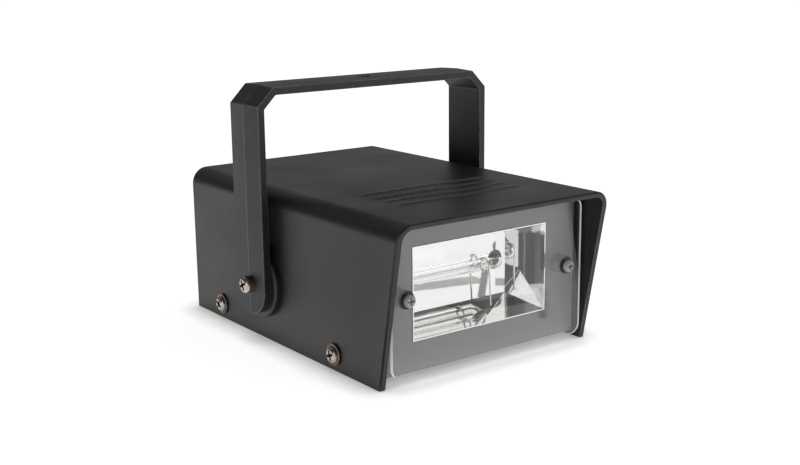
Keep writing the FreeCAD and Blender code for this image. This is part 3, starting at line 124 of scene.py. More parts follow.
def moulded_plastic(name, colour, grain, depth, roughness, mottle=0.08, ior=1.5, speckle=0.25):
    """A moulded skin: grain and depth in millimetres, and how far its tone wanders."""
    material, place = new_material(name)
    skin = add_node(material, "ShaderNodeTexNoise", {"Scale": 1 / mm(grain), "Detail": 2},
                    {"Vector": place})
    slow = add_node(material, "ShaderNodeTexNoise", {"Scale": 1 / mm(hand_patch), "Detail": 3},
                    {"Vector": place})
    tone = add_node(material, "ShaderNodeMapRange", {"To Min": 1 - mottle, "To Max": 1 + mottle},
                    {"Value": slow.outputs["Fac"]})
    fleck = add_node(material, "ShaderNodeMapRange",
                     {"From Min": fleck_range[0], "From Max": fleck_range[1],
                      "To Min": 1 - speckle, "To Max": 1 + speckle},
                     {"Value": skin.outputs["Fac"]})
    shade = add_node(material, "ShaderNodeMath", {"operation": "MULTIPLY"},
                     {0: tone.outputs["Result"], 1: fleck.outputs["Result"]})
    paint = add_node(material, "ShaderNodeVectorMath", {"operation": "SCALE", 0: linear(colour)[:3]},
                     {"Scale": shade.outputs[0]})
    gloss = add_node(material, "ShaderNodeMapRange",
                     {"From Min": noise_range[0], "From Max": noise_range[1],
                      "To Min": roughness - gloss_swing, "To Max": roughness + gloss_swing},
                     {"Value": slow.outputs["Fac"]})
    relief = add_node(material, "ShaderNodeBump", {"Strength": 1, "Distance": mm(depth)},
                      {"Height": skin.outputs["Fac"]})
    return close_material(material, {"IOR": ior},
                          {"Base Color": paint.outputs["Vector"], "Roughness": gloss.outputs["Result"],
                           "Normal": relief.outputs["Normal"]})


# %% Moulded plastics
black_abs = moulded_plastic("moulded black ABS", "#161616", 1.1, 0.08, 0.43, speckle=0.4)
strap_abs = moulded_plastic("moulded black ABS strap", "#141414", 1.1, 0.08, 0.48, speckle=0.4)
# Pale rounds on the edges: part wear, part a painted highlight.
pale_edge_wear_and_highlight = moulded_plastic("ABS pale on its edges, worn and painted with a highlight", "#4a4a4a", 1.4, 0.03, 0.4, speckle=0.5)
grey_abs = moulded_plastic("moulded grey ABS panel", "#8e8e8e", 0.9, 0.03, 0.45, 0.03, speckle=0.05)
knob_abs = moulded_plastic("moulded black ABS knob", "#202020", 0.6, 0.02, 0.4)
print("moulded skins:", [skin.name for skin in (black_abs, strap_abs, pale_edge_wear_and_highlight, grey_abs, knob_abs)])

# %% [markdown]
# ## Plated and bright metals
# Screws, nuts and clips are steel with a thin bright coat of nickel or zinc. Plating follows the
# drawn wire below it, so it shows faint ripples and small stains. A metal has no colour of its own
# below the shine, so the colour here is the colour of its reflections. The collars of the cover's
# screws are browned, so they read darker and warmer than the heads, and the driver's recess is
# painted nearly black, as painted shade for its depth.

# %% A plated coat
clean_gain = 0.06     # clean plating is this much smoother than its middle roughness
stain_loss = 0.1       # and a stain this much rougher
plating_ripple = 0.01  # millimetres


def plated_metal(name, colour, stain, roughness, patch=1.5):
    """A bright coat with a stain colour that comes through in patches of a size in millimetres."""
    material, place = new_material(name)
    cloud = add_node(material, "ShaderNodeTexNoise", {"Scale": 1 / mm(patch), "Detail": 4},
                     {"Vector": place})
    mix = add_node(material, "ShaderNodeMix",
                   {"data_type": "RGBA", 6: linear(colour), 7: linear(stain)},
                   {0: cloud.outputs["Fac"]})
    gloss = add_node(material, "ShaderNodeMapRange",
                     {"To Min": roughness - clean_gain, "To Max": roughness + stain_loss},
                     {"Value": cloud.outputs["Fac"]})
    relief = add_node(material, "ShaderNodeBump", {"Strength": 1, "Distance": mm(plating_ripple)},
                      {"Height": cloud.outputs["Fac"]})
    return close_material(material, {"Metallic": 1},
                          {"Base Color": mix.outputs[2], "Roughness": gloss.outputs["Result"],
                           "Normal": relief.outputs["Normal"]})


# %% Plated metals
nickel = plated_metal("nickel-plated steel", "#e2d8ce", "#8a7a70", 0.2, 2.5)
bronzed = plated_metal("bronzed collar steel", "#8e7c72", "#3a2f2a", 0.3, 2.5)
# The driver's recess: painted shade, nearly black steel.
recess_painted_shade = plated_metal("steel in the recess, painted shade", "#2c2724", "#121010", 0.4)
zinc = plated_metal("zinc-plated steel", "#c9ccd0", "#9a9da3", 0.3)
brass = plated_metal("turned brass", "#d8b46a", "#a8843f", 0.25)
tinned_wire = plated_metal("tinned copper wire", "#e4e2de", "#c2b8aa", 0.18)
tungsten = plated_metal("sealed tungsten electrode", "#a9a59f", "#6f6a63", 0.3)
pot_steel = plated_metal("stamped steel can", "#b9bcbf", "#8c9094", 0.35, 3)
print("metals:", [metal.name for metal in (nickel, bronzed, recess_painted_shade, zinc, brass, tinned_wire,
                                           tungsten, pot_steel)])

# %% [markdown]
# ## Bright rolled aluminium
# The reflector is folded from bright rolled aluminium sheet, and it mirrors what is round it. The
# folding leaves it slightly wavy, so straight edges come back bent, and the rolls leave fine streaks
# along its length. A slow noise makes the wave, and a fine noise that is stretched along X makes the
# streaks, which change the gloss, the tone and the surface by a hair.

# %% Mirror aluminium
wave_width, wave_height = 14, 0.012        # millimetres
streak_width, streak_height = 1.6, 0.002   # millimetres
streak_stretch = 0.03                      # along X the pattern runs this much slower
polished, brushed = 0.01, 0.05             # the roughness between streaks and in them


def rolled_mirror():
    """Bright aluminium sheet: a slow ripple, and rolling streaks along its length."""
    material, place = new_material("bright rolled aluminium")
    ripple = add_node(material, "ShaderNodeTexNoise", {"Scale": 1 / mm(wave_width), "Detail": 1},
                      {"Vector": place})
    along = add_node(material, "ShaderNodeMapping", {"Scale": (streak_stretch, 1, 1)}, {"Vector": place})
    streak = add_node(material, "ShaderNodeTexNoise", {"Scale": 1 / mm(streak_width), "Detail": 3},
                      {"Vector": along.outputs["Vector"]})
    gloss = add_node(material, "ShaderNodeMapRange",
                     {"From Min": noise_range[0], "From Max": noise_range[1],
                      "To Min": polished, "To Max": brushed},
                     {"Value": streak.outputs["Fac"]})
    tone = add_node(material, "ShaderNodeMix",
                    {"data_type": "RGBA", 6: linear("#efefed"), 7: linear("#fbfbf9")},
                    {0: streak.outputs["Fac"]})
    slow = add_node(material, "ShaderNodeBump", {"Strength": 1, "Distance": mm(wave_height)},
                    {"Height": ripple.outputs["Fac"]})
    fine = add_node(material, "ShaderNodeBump", {"Strength": 1, "Distance": mm(streak_height)},
                    {"Height": streak.outputs["Fac"], "Normal": slow.outputs["Normal"]})
    return close_material(material, {"Metallic": 1},
                          {"Base Color": tone.outputs[2], "Roughness": gloss.outputs["Result"],
                           "Normal": fine.outputs["Normal"]})


mirror = rolled_mirror()
print("mirror:", mirror.name, "with", len(mirror.node_tree.nodes), "nodes")

# %% [markdown]
# ## Clear sheet, glass and nylon
# The lens is cast acrylic, and the tube and the fuse are glass. All bend light, so the shader lets
# light through and mostly the index differs. A faint haze of fine scratches keeps them from being
# perfect. The screws and spacers that hold the lens are natural nylon, which is cloudy: it lets only
# part of the light through, and its haze is strong.

# %% Clear materials
haze_patch = 6    # millimetres


def clear_material(name, colour, index, haze, clearness=1):
    """A see-through body whose faint haze changes over a few millimetres."""
    material, place = new_material(name)
    cloud = add_node(material, "ShaderNodeTexNoise", {"Scale": 1 / mm(haze_patch), "Detail": 3},
                     {"Vector": place})
    gloss = add_node(material, "ShaderNodeMapRange", {"To Min": 0, "To Max": haze},
                     {"Value": cloud.outputs["Fac"]})
    return close_material(material,
                          {"Base Color": linear(colour), "IOR": index, "Transmission Weight": clearness},
                          {"Roughness": gloss.outputs["Result"]})


acrylic = clear_material("cast acrylic sheet", "#fbfcfc", 1.49, 0.02)
quartz = clear_material("quartz tube glass", "#ffffff", 1.46, 0.12)
fuse_glass = clear_material("fuse glass", "#f4f8f8", 1.5, 0.05)
nylon = clear_material("natural nylon", "#b2b2b0", 1.53, 0.4, 0.3)
print("clear bodies:", [body.name for body in (acrylic, quartz, fuse_glass, nylon)])

# %% [markdown]
# ## The lit edge of the sheet
# The sawn edge of the acrylic gathers the light that runs inside the sheet, and it glows white round
# its whole outline. The path of that light is too long to trace, so the edge gets a pale material
# with fine saw marks and a little light of its own.

# %% Sawn edge
saw_mark = 0.8      # millimetres
edge_glow = 0.25


def sawn_edge():
    """The lit edge of the clear sheet: pale, with fine saw marks."""
    material, place = new_material("sawn acrylic edge")
    marks = add_node(material, "ShaderNodeTexNoise", {"Scale": 1 / mm(saw_mark), "Detail": 2},
                     {"Vector": place})
    mix = add_node(material, "ShaderNodeMix",
                   {"data_type": "RGBA", 6: linear("#f7f8f8"), 7: linear("#dfe3e3")},
                   {0: marks.outputs["Fac"]})
    return close_material(material, {"Roughness": 0.35, "Emission Color": linear("#ffffff"),
                                     "Emission Strength": edge_glow}, {"Base Color": mix.outputs[2]})


lit_edge = sawn_edge()
print("edge:", lit_edge.name, "glows at", edge_glow)

# %% [markdown]
# ## What is inside
# The board and its parts are hidden once the case is closed, yet they are there for anyone who opens
# it. Most are moulded or dipped, so they share the plastic recipe with finer or coarser grain.

# %% Board and component finishes
laminate = moulded_plastic("phenolic paper laminate", "#8a5f2c", 1.2, 0.01, 0.45, 0.15)
sleeve_pvc = moulded_plastic("capacitor sleeve of shrunk PVC", "#1d2a4a", 2.0, 0.01, 0.25, 0.05)
winding = moulded_plastic("varnished copper winding", "#8c3f1c", 0.5, 0.05, 0.3, 0.2)
film_case = moulded_plastic("dipped film capacitor", "#8e2f22", 3.0, 0.05, 0.25)
epoxy_black = moulded_plastic("transfer-moulded epoxy", "#17181a", 0.4, 0.02, 0.55)
ceramic = moulded_plastic("ceramic cement", "#d9d5cb", 0.7, 0.05, 0.8)
diode_epoxy = moulded_plastic("diode epoxy", "#1a1a1c", 0.4, 0.02, 0.5)
terminal_nylon = moulded_plastic("green nylon terminal", "#2f7d46", 1.0, 0.02, 0.4)
white_paint = moulded_plastic("white inlay paint", "#e9e9e6", 0.5, 0.02, 0.5)
grommet_rubber = moulded_plastic("grommet rubber", "#161616", 0.5, 0.02, 0.65)
silicone = moulded_plastic("grey heat-proof silicone", "#5c5c5a", 1.0, 0.02, 0.45)
wire_red = moulded_plastic("red wire insulation", "#a3201b", 1.0, 0.01, 0.35)
wire_blue = moulded_plastic("blue wire insulation", "#23418f", 1.0, 0.01, 0.35)
print("materials so far:", len(bpy.data.materials))

# %% [markdown]
# ## Give every solid its finish
# The record names a material slot for each solid. The finish goes on the same slot, so that a solid
# keeps its place and shape and only its skin changes. The strap and the knob are black ABS too, each
# with a skin of its own: the strap's is a little darker and rougher than the cover's.

# %% Finish the CAD solids
finishes = {
    "black_abs": black_abs, "grey_panel": grey_abs, "clear_acrylic": acrylic, "nickel_screws": nickel,
    "zinc_steel": zinc, "mirror_aluminium": mirror, "tube_glass": quartz, "electrode_metal": tungsten,
    "silicone": silicone, "clear_nylon": nylon, "bare_wire": tinned_wire, "board_laminate": laminate,
    "capacitor_sleeve": sleeve_pvc, "winding_varnish": winding, "film_casing": film_case,
    "thyristor_casing": epoxy_black, "ceramic_cement": ceramic, "diode_casing": diode_epoxy,
    "fuse_glass": fuse_glass, "terminal_green": terminal_nylon, "pot_can": pot_steel, "brass_nut": brass,
    "white_inlay": white_paint, "grommet_rubber": grommet_rubber, "wire_red": wire_red,
    "wire_blue": wire_blue,
}
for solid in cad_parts.values():
    for holder in solid.material_slots:
        holder.material = finishes[holder.material.name.split(".")[0]]
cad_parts["handle_bracket"].material_slots[0].material = strap_abs
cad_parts["rate_knob"].material_slots[0].material = knob_abs
print("solids finished:", len(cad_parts))

# %% [markdown]
# ## Soft edges on the moulded parts and the sheet
# No moulded edge is razor sharp: the mould wears and the plastic shrinks, and a narrow highlight runs
# along every corner. A copy of a solid is merged, its flat faces are joined again, and a bevel of a
# few tenths of a millimetre rounds what is still sharp. The copy then stands for the solid.

# %% A merged copy
weld_gap = 0.003     # millimetres: corners nearer than this become one
flat_angle = 0.6     # degrees: faces nearer than this are one flat face


def only(piece):
    """Select one object alone and make it active."""
    bpy.ops.object.select_all(action="DESELECT")
    piece.select_set(True)
    bpy.context.view_layer.objects.active = piece


def merged_copy(node):
    """A copy of a solid whose loose triangles are joined into one skin of flat faces."""
    piece = bpy.data.objects.new(node + "_dressed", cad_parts[node].data.copy())
    bpy.context.scene.collection.objects.link(piece)
    only(piece)
    loose = len(piece.data.polygons)
    bpy.ops.object.mode_set(mode="EDIT")
    bpy.ops.mesh.select_all(action="SELECT")
    bpy.ops.mesh.customdata_custom_splitnormals_clear()
    bpy.ops.mesh.remove_doubles(threshold=mm(weld_gap))
    bpy.ops.mesh.dissolve_limited(angle_limit=math.radians(flat_angle))
    bpy.ops.object.mode_set(mode="OBJECT")
    print(node, "triangles:", loose, "flat faces:", len(piece.data.polygons))
    return piece


# %% Soft edges
sharp_angle = 35     # degrees: an edge that turns more than this is an edge to soften


def softened(node, body, edge, wear_and_highlight=None, piece=None):
    """A copy of a solid with its edges rounded to a radius in millimetres, and the rounds painted pale if
    asked: part wear, part a painted highlight.
    """
    piece = piece or merged_copy(node)
    only(piece)
    round_off = piece.modifiers.new("soft edges", "BEVEL")
    round_off.width = mm(edge)
    round_off.segments = 2
    round_off.limit_method = "ANGLE"
    round_off.angle_limit = math.radians(sharp_angle)
    round_off.use_clamp_overlap = False
    # The rounds take the pale material: part wear, part a painted highlight.
    if wear_and_highlight:
        if len(piece.data.materials) == 1:
            piece.data.materials.append(wear_and_highlight)
        round_off.material = 1
    bpy.ops.object.modifier_apply(modifier=round_off.name)
    bpy.ops.object.shade_smooth_by_angle(angle=math.radians(sharp_angle))
    flatten = piece.modifiers.new("flat faces stay flat", "WEIGHTED_NORMAL")
    flatten.weight = 100
    flatten.keep_sharp = True
    bpy.ops.object.modifier_apply(modifier=flatten.name)
    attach(piece, body)
    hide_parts(node)
    print(node, "faces:", len(piece.data.polygons))
    return piece


softened("front_panel", "housing", 0.25)
softened("rear_panel", "housing", 0.3)
softened("base_pan", "housing", 0.3)
lens = softened("front_lens", "housing", 0.15)

# %% [markdown]
# ## The cover's louvres
# The raised bars on the cover are low louvres: each rises gently towards the front and drops steeply
# there, so its back catches the bright room and its front stays dark. The corners of the copy's bars
# are picked row by row, from their height and their place along the cover, and pushed to that shape.
# The sharp edges that are left are rounded, and the rounds are painted pale: part wear where hands and dust
# rub the skin, part a painted highlight.

# %% Pick corners by a test
def pick_corners(piece, test):
    """Select the corners of one object whose place passes a test, and stay in edit mode."""
    bpy.ops.object.mode_set(mode="OBJECT")
    only(piece)
    bpy.ops.object.mode_set(mode="EDIT")
    bpy.ops.mesh.select_mode(type="VERT")
    bpy.ops.mesh.select_all(action="DESELECT")
    bpy.ops.object.mode_set(mode="OBJECT")
    for corner in piece.data.vertices:
        corner.select = test(corner.co)
    picked = sum(corner.select for corner in piece.data.vertices)
    bpy.ops.object.mode_set(mode="EDIT")
    return picked


# %% Louvres on the cover
back_shift = (0, 0, mm(-0.5))
front_shift = (0, mm(-0.7), mm(-0.15))
crest_skin = mm(0.05)      # a corner no lower than this below the crest is on a louvre's top
crest_reach = mm(0.2)      # the same, once a row has been moved
hundredth = 5              # decimals of a metre that are a hundredth of a millimetre
plain_cover = merged_copy("top_cover")
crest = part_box("top_cover")[1].z
crest_rows = sorted({round(corner.co.y, hundredth) for corner in plain_cover.data.vertices
                     if corner.co.z > crest - crest_skin})
for name, rows, shift in (("backs", crest_rows[1::2], back_shift),
                          ("fronts", crest_rows[::2], front_shift)):
    picked = pick_corners(plain_cover, lambda place: place.z > crest - crest_reach
                          and round(place.y, hundredth) in rows)
    bpy.ops.transform.translate(value=shift)
    bpy.ops.object.mode_set(mode="OBJECT")
    print("louvre", name, "corners moved:", picked)
softened("top_cover", "housing", 0.3, pale_edge_wear_and_highlight, plain_cover)

# %% [markdown]
# ## The strap's ridge
# The strap has a low ridge along its middle, and its line is painted pale: part wear from hands, part a
# painted highlight. The CAD solid has the ridge as a fold between two flats, so the corners on the middle
# line are picked, on the outer side of the legs and along the crossbar, and a narrow bevel with the pale
# material draws the ridge.

# %% The strap's ridge
ridge_width = 0.3      # millimetres
on_the_line = 0.02     # millimetres off the middle that still count as on it
outer_skin = 0.1       # millimetres below the outer side that still count as on it
crossbar_foot = 80     # millimetres: all of the strap above this is crossbar
plain_strap = merged_copy("handle_bracket")
plain_strap.data.materials.append(pale_edge_wear_and_highlight)
strap_low, strap_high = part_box("handle_bracket")
ridge_y = (strap_low.y + strap_high.y) / 2
picked = pick_corners(plain_strap, lambda place: abs(place.y - ridge_y) < mm(on_the_line)
                      and (abs(place.x) > strap_high.x - mm(outer_skin) or place.z > mm(crossbar_foot)))
bpy.ops.mesh.select_mode(type="EDGE")
bpy.ops.mesh.bevel(offset=mm(ridge_width), segments=1, affect="EDGES", material=1)
bpy.ops.object.mode_set(mode="OBJECT")
print("ridge corners:", picked, "faces:", len(plain_strap.data.polygons))
bracket = softened("handle_bracket", "bracket", 0.4, pale_edge_wear_and_highlight, plain_strap)
bracket.data.materials[0] = strap_abs

# %% [markdown]
# ## Light up the lens's edge
# The sheet is sawn all round, so every face that doesn't look forwards or backwards gets the pale
# edge material.

# %% Lit edge
sideways = 0.5      # a face whose normal leans less than this to the front or back is edge
lens.data.materials.append(lit_edge)
for face in lens.data.polygons:
    if abs(face.normal.y) < sideways:
        face.material_index = 1
print("edge faces:", sum(face.material_index for face in lens.data.polygons))

# %% [markdown]
# ## The screws
# The screws that show are cold-headed from wire. A punch spreads the head and drives the cross into it
# in one blow, then the thread is rolled and the whole is plated. One screw is modelled with its head
# up: a disc is inset and pulled up for the head, its rim is rounded, and the shank is pulled down from
# the underside. A cutter in the shape of the driver's tip leaves the cross.

# %% Pick faces by a test
upright_enough = 0.9      # how much of a face's normal has to lie along Z


def pick_faces(piece, test):
    """Select the faces of one object that pass a test, and stay in edit mode."""
    bpy.ops.object.mode_set(mode="OBJECT")
    only(piece)
    bpy.ops.object.mode_set(mode="EDIT")
    bpy.ops.mesh.select_mode(type="FACE")
    bpy.ops.mesh.select_all(action="DESELECT")
    bpy.ops.object.mode_set(mode="OBJECT")
    for face in piece.data.polygons:
        face.select = test(face)
    bpy.ops.object.mode_set(mode="EDIT")


def looks_up(face):
    return face.normal.z > upright_enough


def looks_down(face):
    return face.normal.z < -upright_enough


def pull(distance):
    """Pull the picked faces out along the Z axis by a distance in metres."""
    bpy.ops.mesh.extrude_region_move(TRANSFORM_OT_translate={"value": (0, 0, distance)})


# %% The driver's tip
blade_share = 0.24      # a blade's thickness beside its width
tip_share = 0.45        # how much of that is left at the tip


def driver_tip(width, depth, top):
    """A cross that narrows downwards: the space that a driver's tip leaves, in millimetres."""
    blades = []
    for turn in (0, 90):
        bpy.ops.mesh.primitive_cube_add(size=1, location=(0, 0, mm(top - depth / 2)))
        blade = bpy.context.object
        blade.scale = (mm(width), mm(width * blade_share), mm(depth))
        blade.rotation_euler = (0, 0, math.radians(turn))
        bpy.ops.object.transform_apply(location=True, rotation=True, scale=True)
        pick_faces(blade, looks_down)
        bpy.ops.transform.resize(value=(tip_share, tip_share, 1))
        bpy.ops.object.mode_set(mode="OBJECT")
        # The cutter's faces carry the recess's painted shade into the screw.
        blade.data.materials.append(recess_painted_shade)
        blades.append(blade)
    print("driver tip:", round(width, 2), "mm wide and", round(depth, 2), "mm deep")
    return blades


# %% A blank: head up, shank down
dome_share = 0.95       # how much of the head's height its rounded rim takes


def screw_blank(name, shank, length, head, rise, collar, collar_rise):
    """A screw without its cross, its seat at the origin and its head up, in millimetres."""
    foot = max(collar, head)
    first = collar_rise or rise / 3
    bpy.ops.mesh.primitive_cylinder_add(vertices=64, radius=mm(foot / 2), depth=mm(first),
                                        location=(0, 0, mm(first / 2)))
    screw = bpy.context.object
    screw.name = name
    screw.data.materials.append(nickel)
    bpy.ops.object.transform_apply(location=True, rotation=False, scale=False)
    pick_faces(screw, looks_up)
    if collar:
        bpy.ops.mesh.inset(thickness=mm((collar - head) / 2))
    pull(mm(rise - first))
    bpy.ops.mesh.region_to_loop()
    bpy.ops.mesh.bevel(offset=mm(rise - first) * dome_share, segments=8, affect="EDGES")
    pick_faces(screw, looks_down)
    bpy.ops.mesh.inset(thickness=mm((foot - shank) / 2))
    pull(mm(-length))
    bpy.ops.mesh.region_to_loop()
    bpy.ops.mesh.bevel(offset=mm(shank / 8), segments=2, affect="EDGES")
    bpy.ops.object.mode_set(mode="OBJECT")
    return screw


# %% Strike the cross and plate the screw
cross_share = 0.66      # the cross's width beside the head's
cross_depth = 0.7       # its depth beside the head's height
stands_proud = 0.05     # millimetres that the cutter stands above the head
struck_rim = 0.08       # millimetres of rounding where the punch bent the metal
struck_angle = 40       # degrees
above_collar = 0.1      # millimetres of browning above the collar
under_head = 0.9        # and how far in below the head it starts, beside the head's radius


def headed_screw(name, shank, length, head, rise, collar=0, collar_rise=0):
    """A cross-recessed screw with its seat at the origin and its head up, in millimetres."""
    screw = screw_blank(name, shank, length, head, rise, collar, collar_rise)
    for blade in driver_tip(head * cross_share, rise * cross_depth, rise + stands_proud):
        only(screw)
        cut = screw.modifiers.new("driver recess", "BOOLEAN")
        cut.object = blade
        cut.material_mode = "TRANSFER"
        bpy.ops.object.modifier_apply(modifier=cut.name)
        bpy.data.objects.remove(blade)
    soft_rim = screw.modifiers.new("struck rim", "BEVEL")
    soft_rim.width = mm(struck_rim)
    soft_rim.segments = 2
    soft_rim.angle_limit = math.radians(struck_angle)
    only(screw)
    bpy.ops.object.modifier_apply(modifier=soft_rim.name)
    bpy.ops.object.shade_smooth_by_angle(angle=math.radians(struck_angle))
    screw.data.materials.append(bronzed)
    for face in screw.data.polygons:
        low = face.center.z < mm(collar_rise + above_collar)
        if low and math.hypot(*face.center.xy) > mm(head / 2) * under_head:
            face.material_index = 2
    print(name, "faces:", len(screw.data.polygons), [finish.name for finish in screw.data.materials])
    return screw


# %% [markdown]
# ## Drive the screws home
# The finished screw is copied to each of its holes. A copy is first turned about its own axis, because
# each real screw stops where it is tight, and then laid on its side. The four collar screws hold the
# cover, and the two pan heads are the bracket's pivots.

# %% Copies in their holes
def drive_home(master, node, body, spots):
    """Copies of a screw at (place, side, turn) spots, as one piece that stands for a CAD node."""
    copies = []
    for place, side, turn in spots:
        copy = bpy.data.objects.new(node + "_dressed", master.data.copy())
        bpy.context.scene.collection.objects.link(copy)
        only(copy)
        copy.rotation_euler = (0, 0, math.radians(turn))
        bpy.ops.object.transform_apply(location=False, rotation=True, scale=False)
        copy.rotation_euler = (0, math.radians(90 * side), 0)
        copy.location = place
        bpy.ops.object.transform_apply(location=True, rotation=True, scale=False)
        copies.append(copy)
    bpy.ops.object.select_all(action="DESELECT")
    for copy in copies:
        copy.select_set(True)
    bpy.ops.object.join()
    piece = bpy.context.object
    bpy.data.objects.remove(master)
    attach(piece, body)
    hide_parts(node)
    print(node, "screws:", len(copies))


# %% Cover screws
collar_width = 10      # millimetres
rim = mm(collar_width / 2)
screw_low, screw_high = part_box("cover_screws")
screw_height = (screw_low.z + screw_high.z) / 2
cover_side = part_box("top_cover")[1].x
cover_screw = headed_screw("cover_screw_master", shank=4.2, length=12, head=7.4, rise=2.7,
                           collar=collar_width, collar_rise=0.9)
drive_home(cover_screw, "cover_screws", "housing",
           [(Vector((side * cover_side, y, screw_height)), side, turn)
            for side, y, turn in ((-1, screw_low.y + rim, 20), (-1, screw_high.y - rim, 62),
                                  (1, screw_low.y + rim, 35), (1, screw_high.y - rim, 8))])

# %% Pivot screws
pivot_rise = 3.1       # millimetres
pivot_low, pivot_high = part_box("pivot_screws")
middle = (pivot_low + pivot_high) / 2
pivot_screw = headed_screw("pivot_screw_master", shank=4, length=16, head=8, rise=pivot_rise)
drive_home(pivot_screw, "pivot_screws", "housing",
           [(Vector((side * (pivot_high.x - mm(pivot_rise)), middle.y, middle.z)), side, turn)
            for side, turn in ((-1, 28), (1, 50))])

# %% [markdown]
# ## Floor
# The object stands on a plain white floor that runs far behind it. Product pictures light such a floor
# until it loses its horizon, and here it glows by itself, a little below white. An ambient occlusion
# node measures how closed in each spot is, and the glow fades near things, which draws the soft
# contact shadow.

# %% Floor
paper_cloud = 400             # millimetres across a faint patch of the paper
shadow_reach = 15             # millimetres
closed_in, open_sky = 0.4, 1  # the part of the node's range that is used
dim_glow, full_glow = 0.28, 0.86
floor_size = 60               # metres
floor_drop = 0.05             # millimetres, so that the housing's edges don't touch it

floor_material, place = new_material("pale studio floor")
paper = add_node(floor_material, "ShaderNodeTexNoise", {"Scale": 1 / mm(paper_cloud)}, {"Vector": place})
pale = add_node(floor_material, "ShaderNodeMix",
                {"data_type": "RGBA", 6: linear("#f4f4f4"), 7: linear("#f7f7f7")}, {0: paper.outputs["Fac"]})
near_things = add_node(floor_material, "ShaderNodeAmbientOcclusion",
                       {"samples": 8, "Distance": mm(shadow_reach)})
shine = add_node(floor_material, "ShaderNodeMapRange",
                 {"From Min": closed_in, "From Max": open_sky, "To Min": dim_glow, "To Max": full_glow},
                 {"Value": near_things.outputs["AO"]})
close_material(floor_material,
               {"Roughness": 0.9, "Specular IOR Level": 0, "Emission Color": linear("#ffffff")},
               {"Base Color": pale.outputs[2], "Emission Strength": shine.outputs["Result"]})
bpy.ops.mesh.primitive_plane_add(size=floor_size, location=(0, 0, mm(-floor_drop)))
floor = bpy.context.object
floor.name = "studio_floor"
floor.data.materials.append(floor_material)
print("floor:", floor_size, "metres across,", floor_drop, "mm below the housing")

# %% [markdown]
# ## Cards for the mirror
# The reflector shows what lies on the floor before it. On the real one the right wall is dark and two
# grey bands cross the back, so a black card and two grey strips lie where the mirror looks. The grey
# strips are painted reflection: they glow a little and draw the two bands on the mirror's back. They are
# seen only in reflections and through the clear sheet, as the flags beside a product table are kept
# out of the picture.

# %% Lay a card
card_lift = 1     # millimetres above the floor
nap_size = 4      # millimetres


def lay_card(name, tone, glow, middle, size, turn=0):
    """A matt card on the floor, in millimetres and degrees, seen in mirrors and through clear sheet."""
    material, place = new_material(name + " velvet")
    nap = add_node(material, "ShaderNodeTexNoise", {"Scale": 1 / mm(nap_size)}, {"Vector": place})
    velvet = add_node(material, "ShaderNodeMix",
                      {"data_type": "RGBA", 6: linear(tone), 7: linear("#141414")}, {0: nap.outputs["Fac"]})
    close_material(material, {"Roughness": 1, "Specular IOR Level": 0, "Emission Color": linear("#ffffff"),
                              "Emission Strength": glow}, {"Base Color": velvet.outputs[2]})
    bpy.ops.mesh.primitive_plane_add(size=1, location=(mm(middle[0]), mm(middle[1]), mm(card_lift)),
                                     rotation=(0, 0, math.radians(turn)))
    card = bpy.context.object
    card.name = name
    card.scale = (mm(size[0]), mm(size[1]), 1)
    bpy.ops.object.transform_apply(location=True, rotation=True, scale=True)
    card.data.materials.append(material)
    card.visible_camera = False
    card.visible_diffuse = False
    card.visible_shadow = False
    print(name, "lies at", middle)


lay_card("black_card", "#0a0a0a", glow=0, middle=(-122, -103), size=(124, 46))
# Painted reflection: the grey strips glow a little and draw the two bands on the reflector's back.
lay_card("painted_band_across", "#808080", glow=0.4, middle=(61, -147), size=(50, 15), turn=14)
lay_card("painted_band_along", "#606060", glow=0.2, middle=(81, -134), size=(58, 4), turn=-47)

# %% [markdown]
# ## Light
# The room round the glowing floor is dim, so that black plastic stays black. Five soft panels hang in
# it, as in a studio, and each one draws a highlight on the edges that face it. A panel is a round
# patch of the sky with a soft rim. Its bearing counts in degrees from straight behind the object,
# through its right side, and its height from the floor upwards. One weak lamp with a very wide face
# adds a little from above.

# %% Soft panels in the sky
room_glow = 0.03                    # what the room gives without the panels
outer_share, inner_share = 1.35, 0.55   # where a panel's rim starts and ends, beside its reach
soft_panels = [    # name, bearing, height and reach in degrees, strength
    ("front, right", 150, 8, 22, 1.7), ("front, left", 240, 8, 22, 1.3),
    ("behind, right", 45, 30, 30, 0.35), ("behind, left", 344, 35, 22, 0.25),
    ("overhead", 110, 52, 22, 0.4),
]
world = bpy.data.worlds.new("dim studio with soft panels")
world.use_nodes = True
sky = add_node(world, "ShaderNodeTexCoord", {})
glow = None
for spot, bearing, height, reach, strength in soft_panels:
    turn, rise = math.radians(bearing), math.radians(height)
    axis = (math.sin(turn) * math.cos(rise), math.cos(turn) * math.cos(rise), math.sin(rise))
    facing = add_node(world, "ShaderNodeVectorMath", {"operation": "DOT_PRODUCT", 1: axis},
                      {0: sky.outputs["Generated"]})
    patch = add_node(world, "ShaderNodeMapRange",
                     {"interpolation_type": "SMOOTHSTEP", "To Max": strength,
                      "From Min": math.cos(math.radians(reach * outer_share)),
                      "From Max": math.cos(math.radians(reach * inner_share))},
                     {"Value": facing.outputs["Value"]})
    feeds = {0: patch.outputs["Result"]}
    if glow:
        feeds[1] = glow.outputs[0]
    glow = add_node(world, "ShaderNodeMath", {"operation": "ADD", 1: room_glow}, feeds)
    print("soft panel", spot, "strength", strength)
background = world.node_tree.nodes["Background"]
world.node_tree.links.new(glow.outputs[0], background.inputs["Strength"])
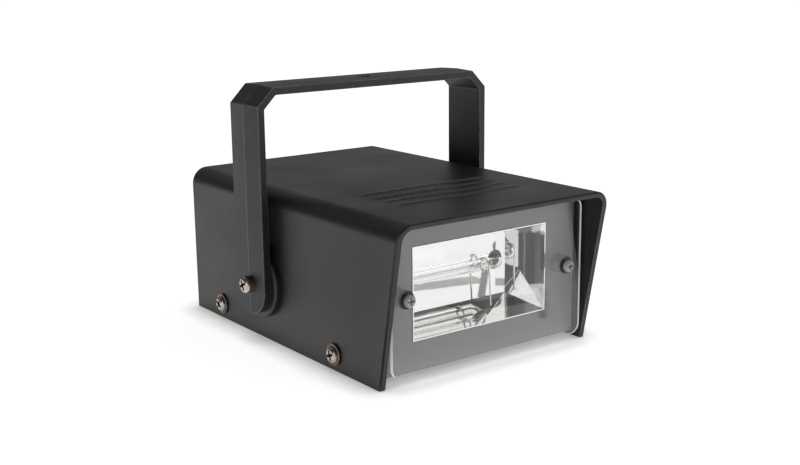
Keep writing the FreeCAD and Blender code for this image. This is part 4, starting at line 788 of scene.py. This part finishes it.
background.inputs["Color"].default_value = linear("#ffffff")
bpy.context.scene.world = world

# %% A wide lamp overhead
lamp_tilt = (math.radians(20), math.radians(-25), 0)
lamp_width = math.radians(120)
lamp_strength = 0.12
bpy.ops.object.light_add(type="SUN", rotation=lamp_tilt)
lamp = bpy.context.object
lamp.name = "wide overhead lamp"
lamp.data.energy = lamp_strength
lamp.data.angle = lamp_width
print(lamp.name, "strength", lamp_strength)

# %% [markdown]
# ## Camera
# The photograph looks from the left of the front, a little from above. The distance and the lens were
# found by matching the corners of the drawing with the corners in the picture. The camera's own three
# axes are worked out from its turn, its rise and its lean. Its place is measured from the middle of
# the housing's rear edge on the floor: back by its reach, then aside and up to frame the object.

# %% Camera
camera_turn = math.radians(-36.62)
camera_rise = math.radians(13.069)
camera_lean = math.radians(-0.622)
camera_reach = mm(644.903)
aim_right = mm(56.873)
aim_up = mm(29.135)
frame_width = 800
focal_pixels = 1182.248
rear_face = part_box("top_cover")[1].y

towards = Vector((math.sin(camera_turn) * math.cos(camera_rise),
                  -math.cos(camera_turn) * math.cos(camera_rise), math.sin(camera_rise)))
level = Vector((math.cos(camera_turn), math.sin(camera_turn), 0))
upright = towards.cross(level)
right = level * math.cos(camera_lean) + upright * math.sin(camera_lean)
up = upright * math.cos(camera_lean) - level * math.sin(camera_lean)
stand = towards * camera_reach + right * aim_right + up * aim_up + Vector((0, rear_face, 0))
print("camera stands at", [round(part, 4) for part in stand])

# %% Set up the camera
film_width = 36      # millimetres
bpy.ops.object.camera_add()
camera = bpy.context.object
camera.name = "portrait camera"
camera.data.sensor_width = film_width
camera.data.lens = focal_pixels * film_width / frame_width
camera.data.clip_end = 100
camera.matrix_world = Matrix((
    (right.x, up.x, towards.x, stand.x),
    (right.y, up.y, towards.y, stand.y),
    (right.z, up.z, towards.z, stand.z),
    (0, 0, 0, 1)))
bpy.context.scene.camera = camera
bpy.context.scene.view_settings.view_transform = "Standard"
print("lens, millimetres:", round(camera.data.lens, 1))
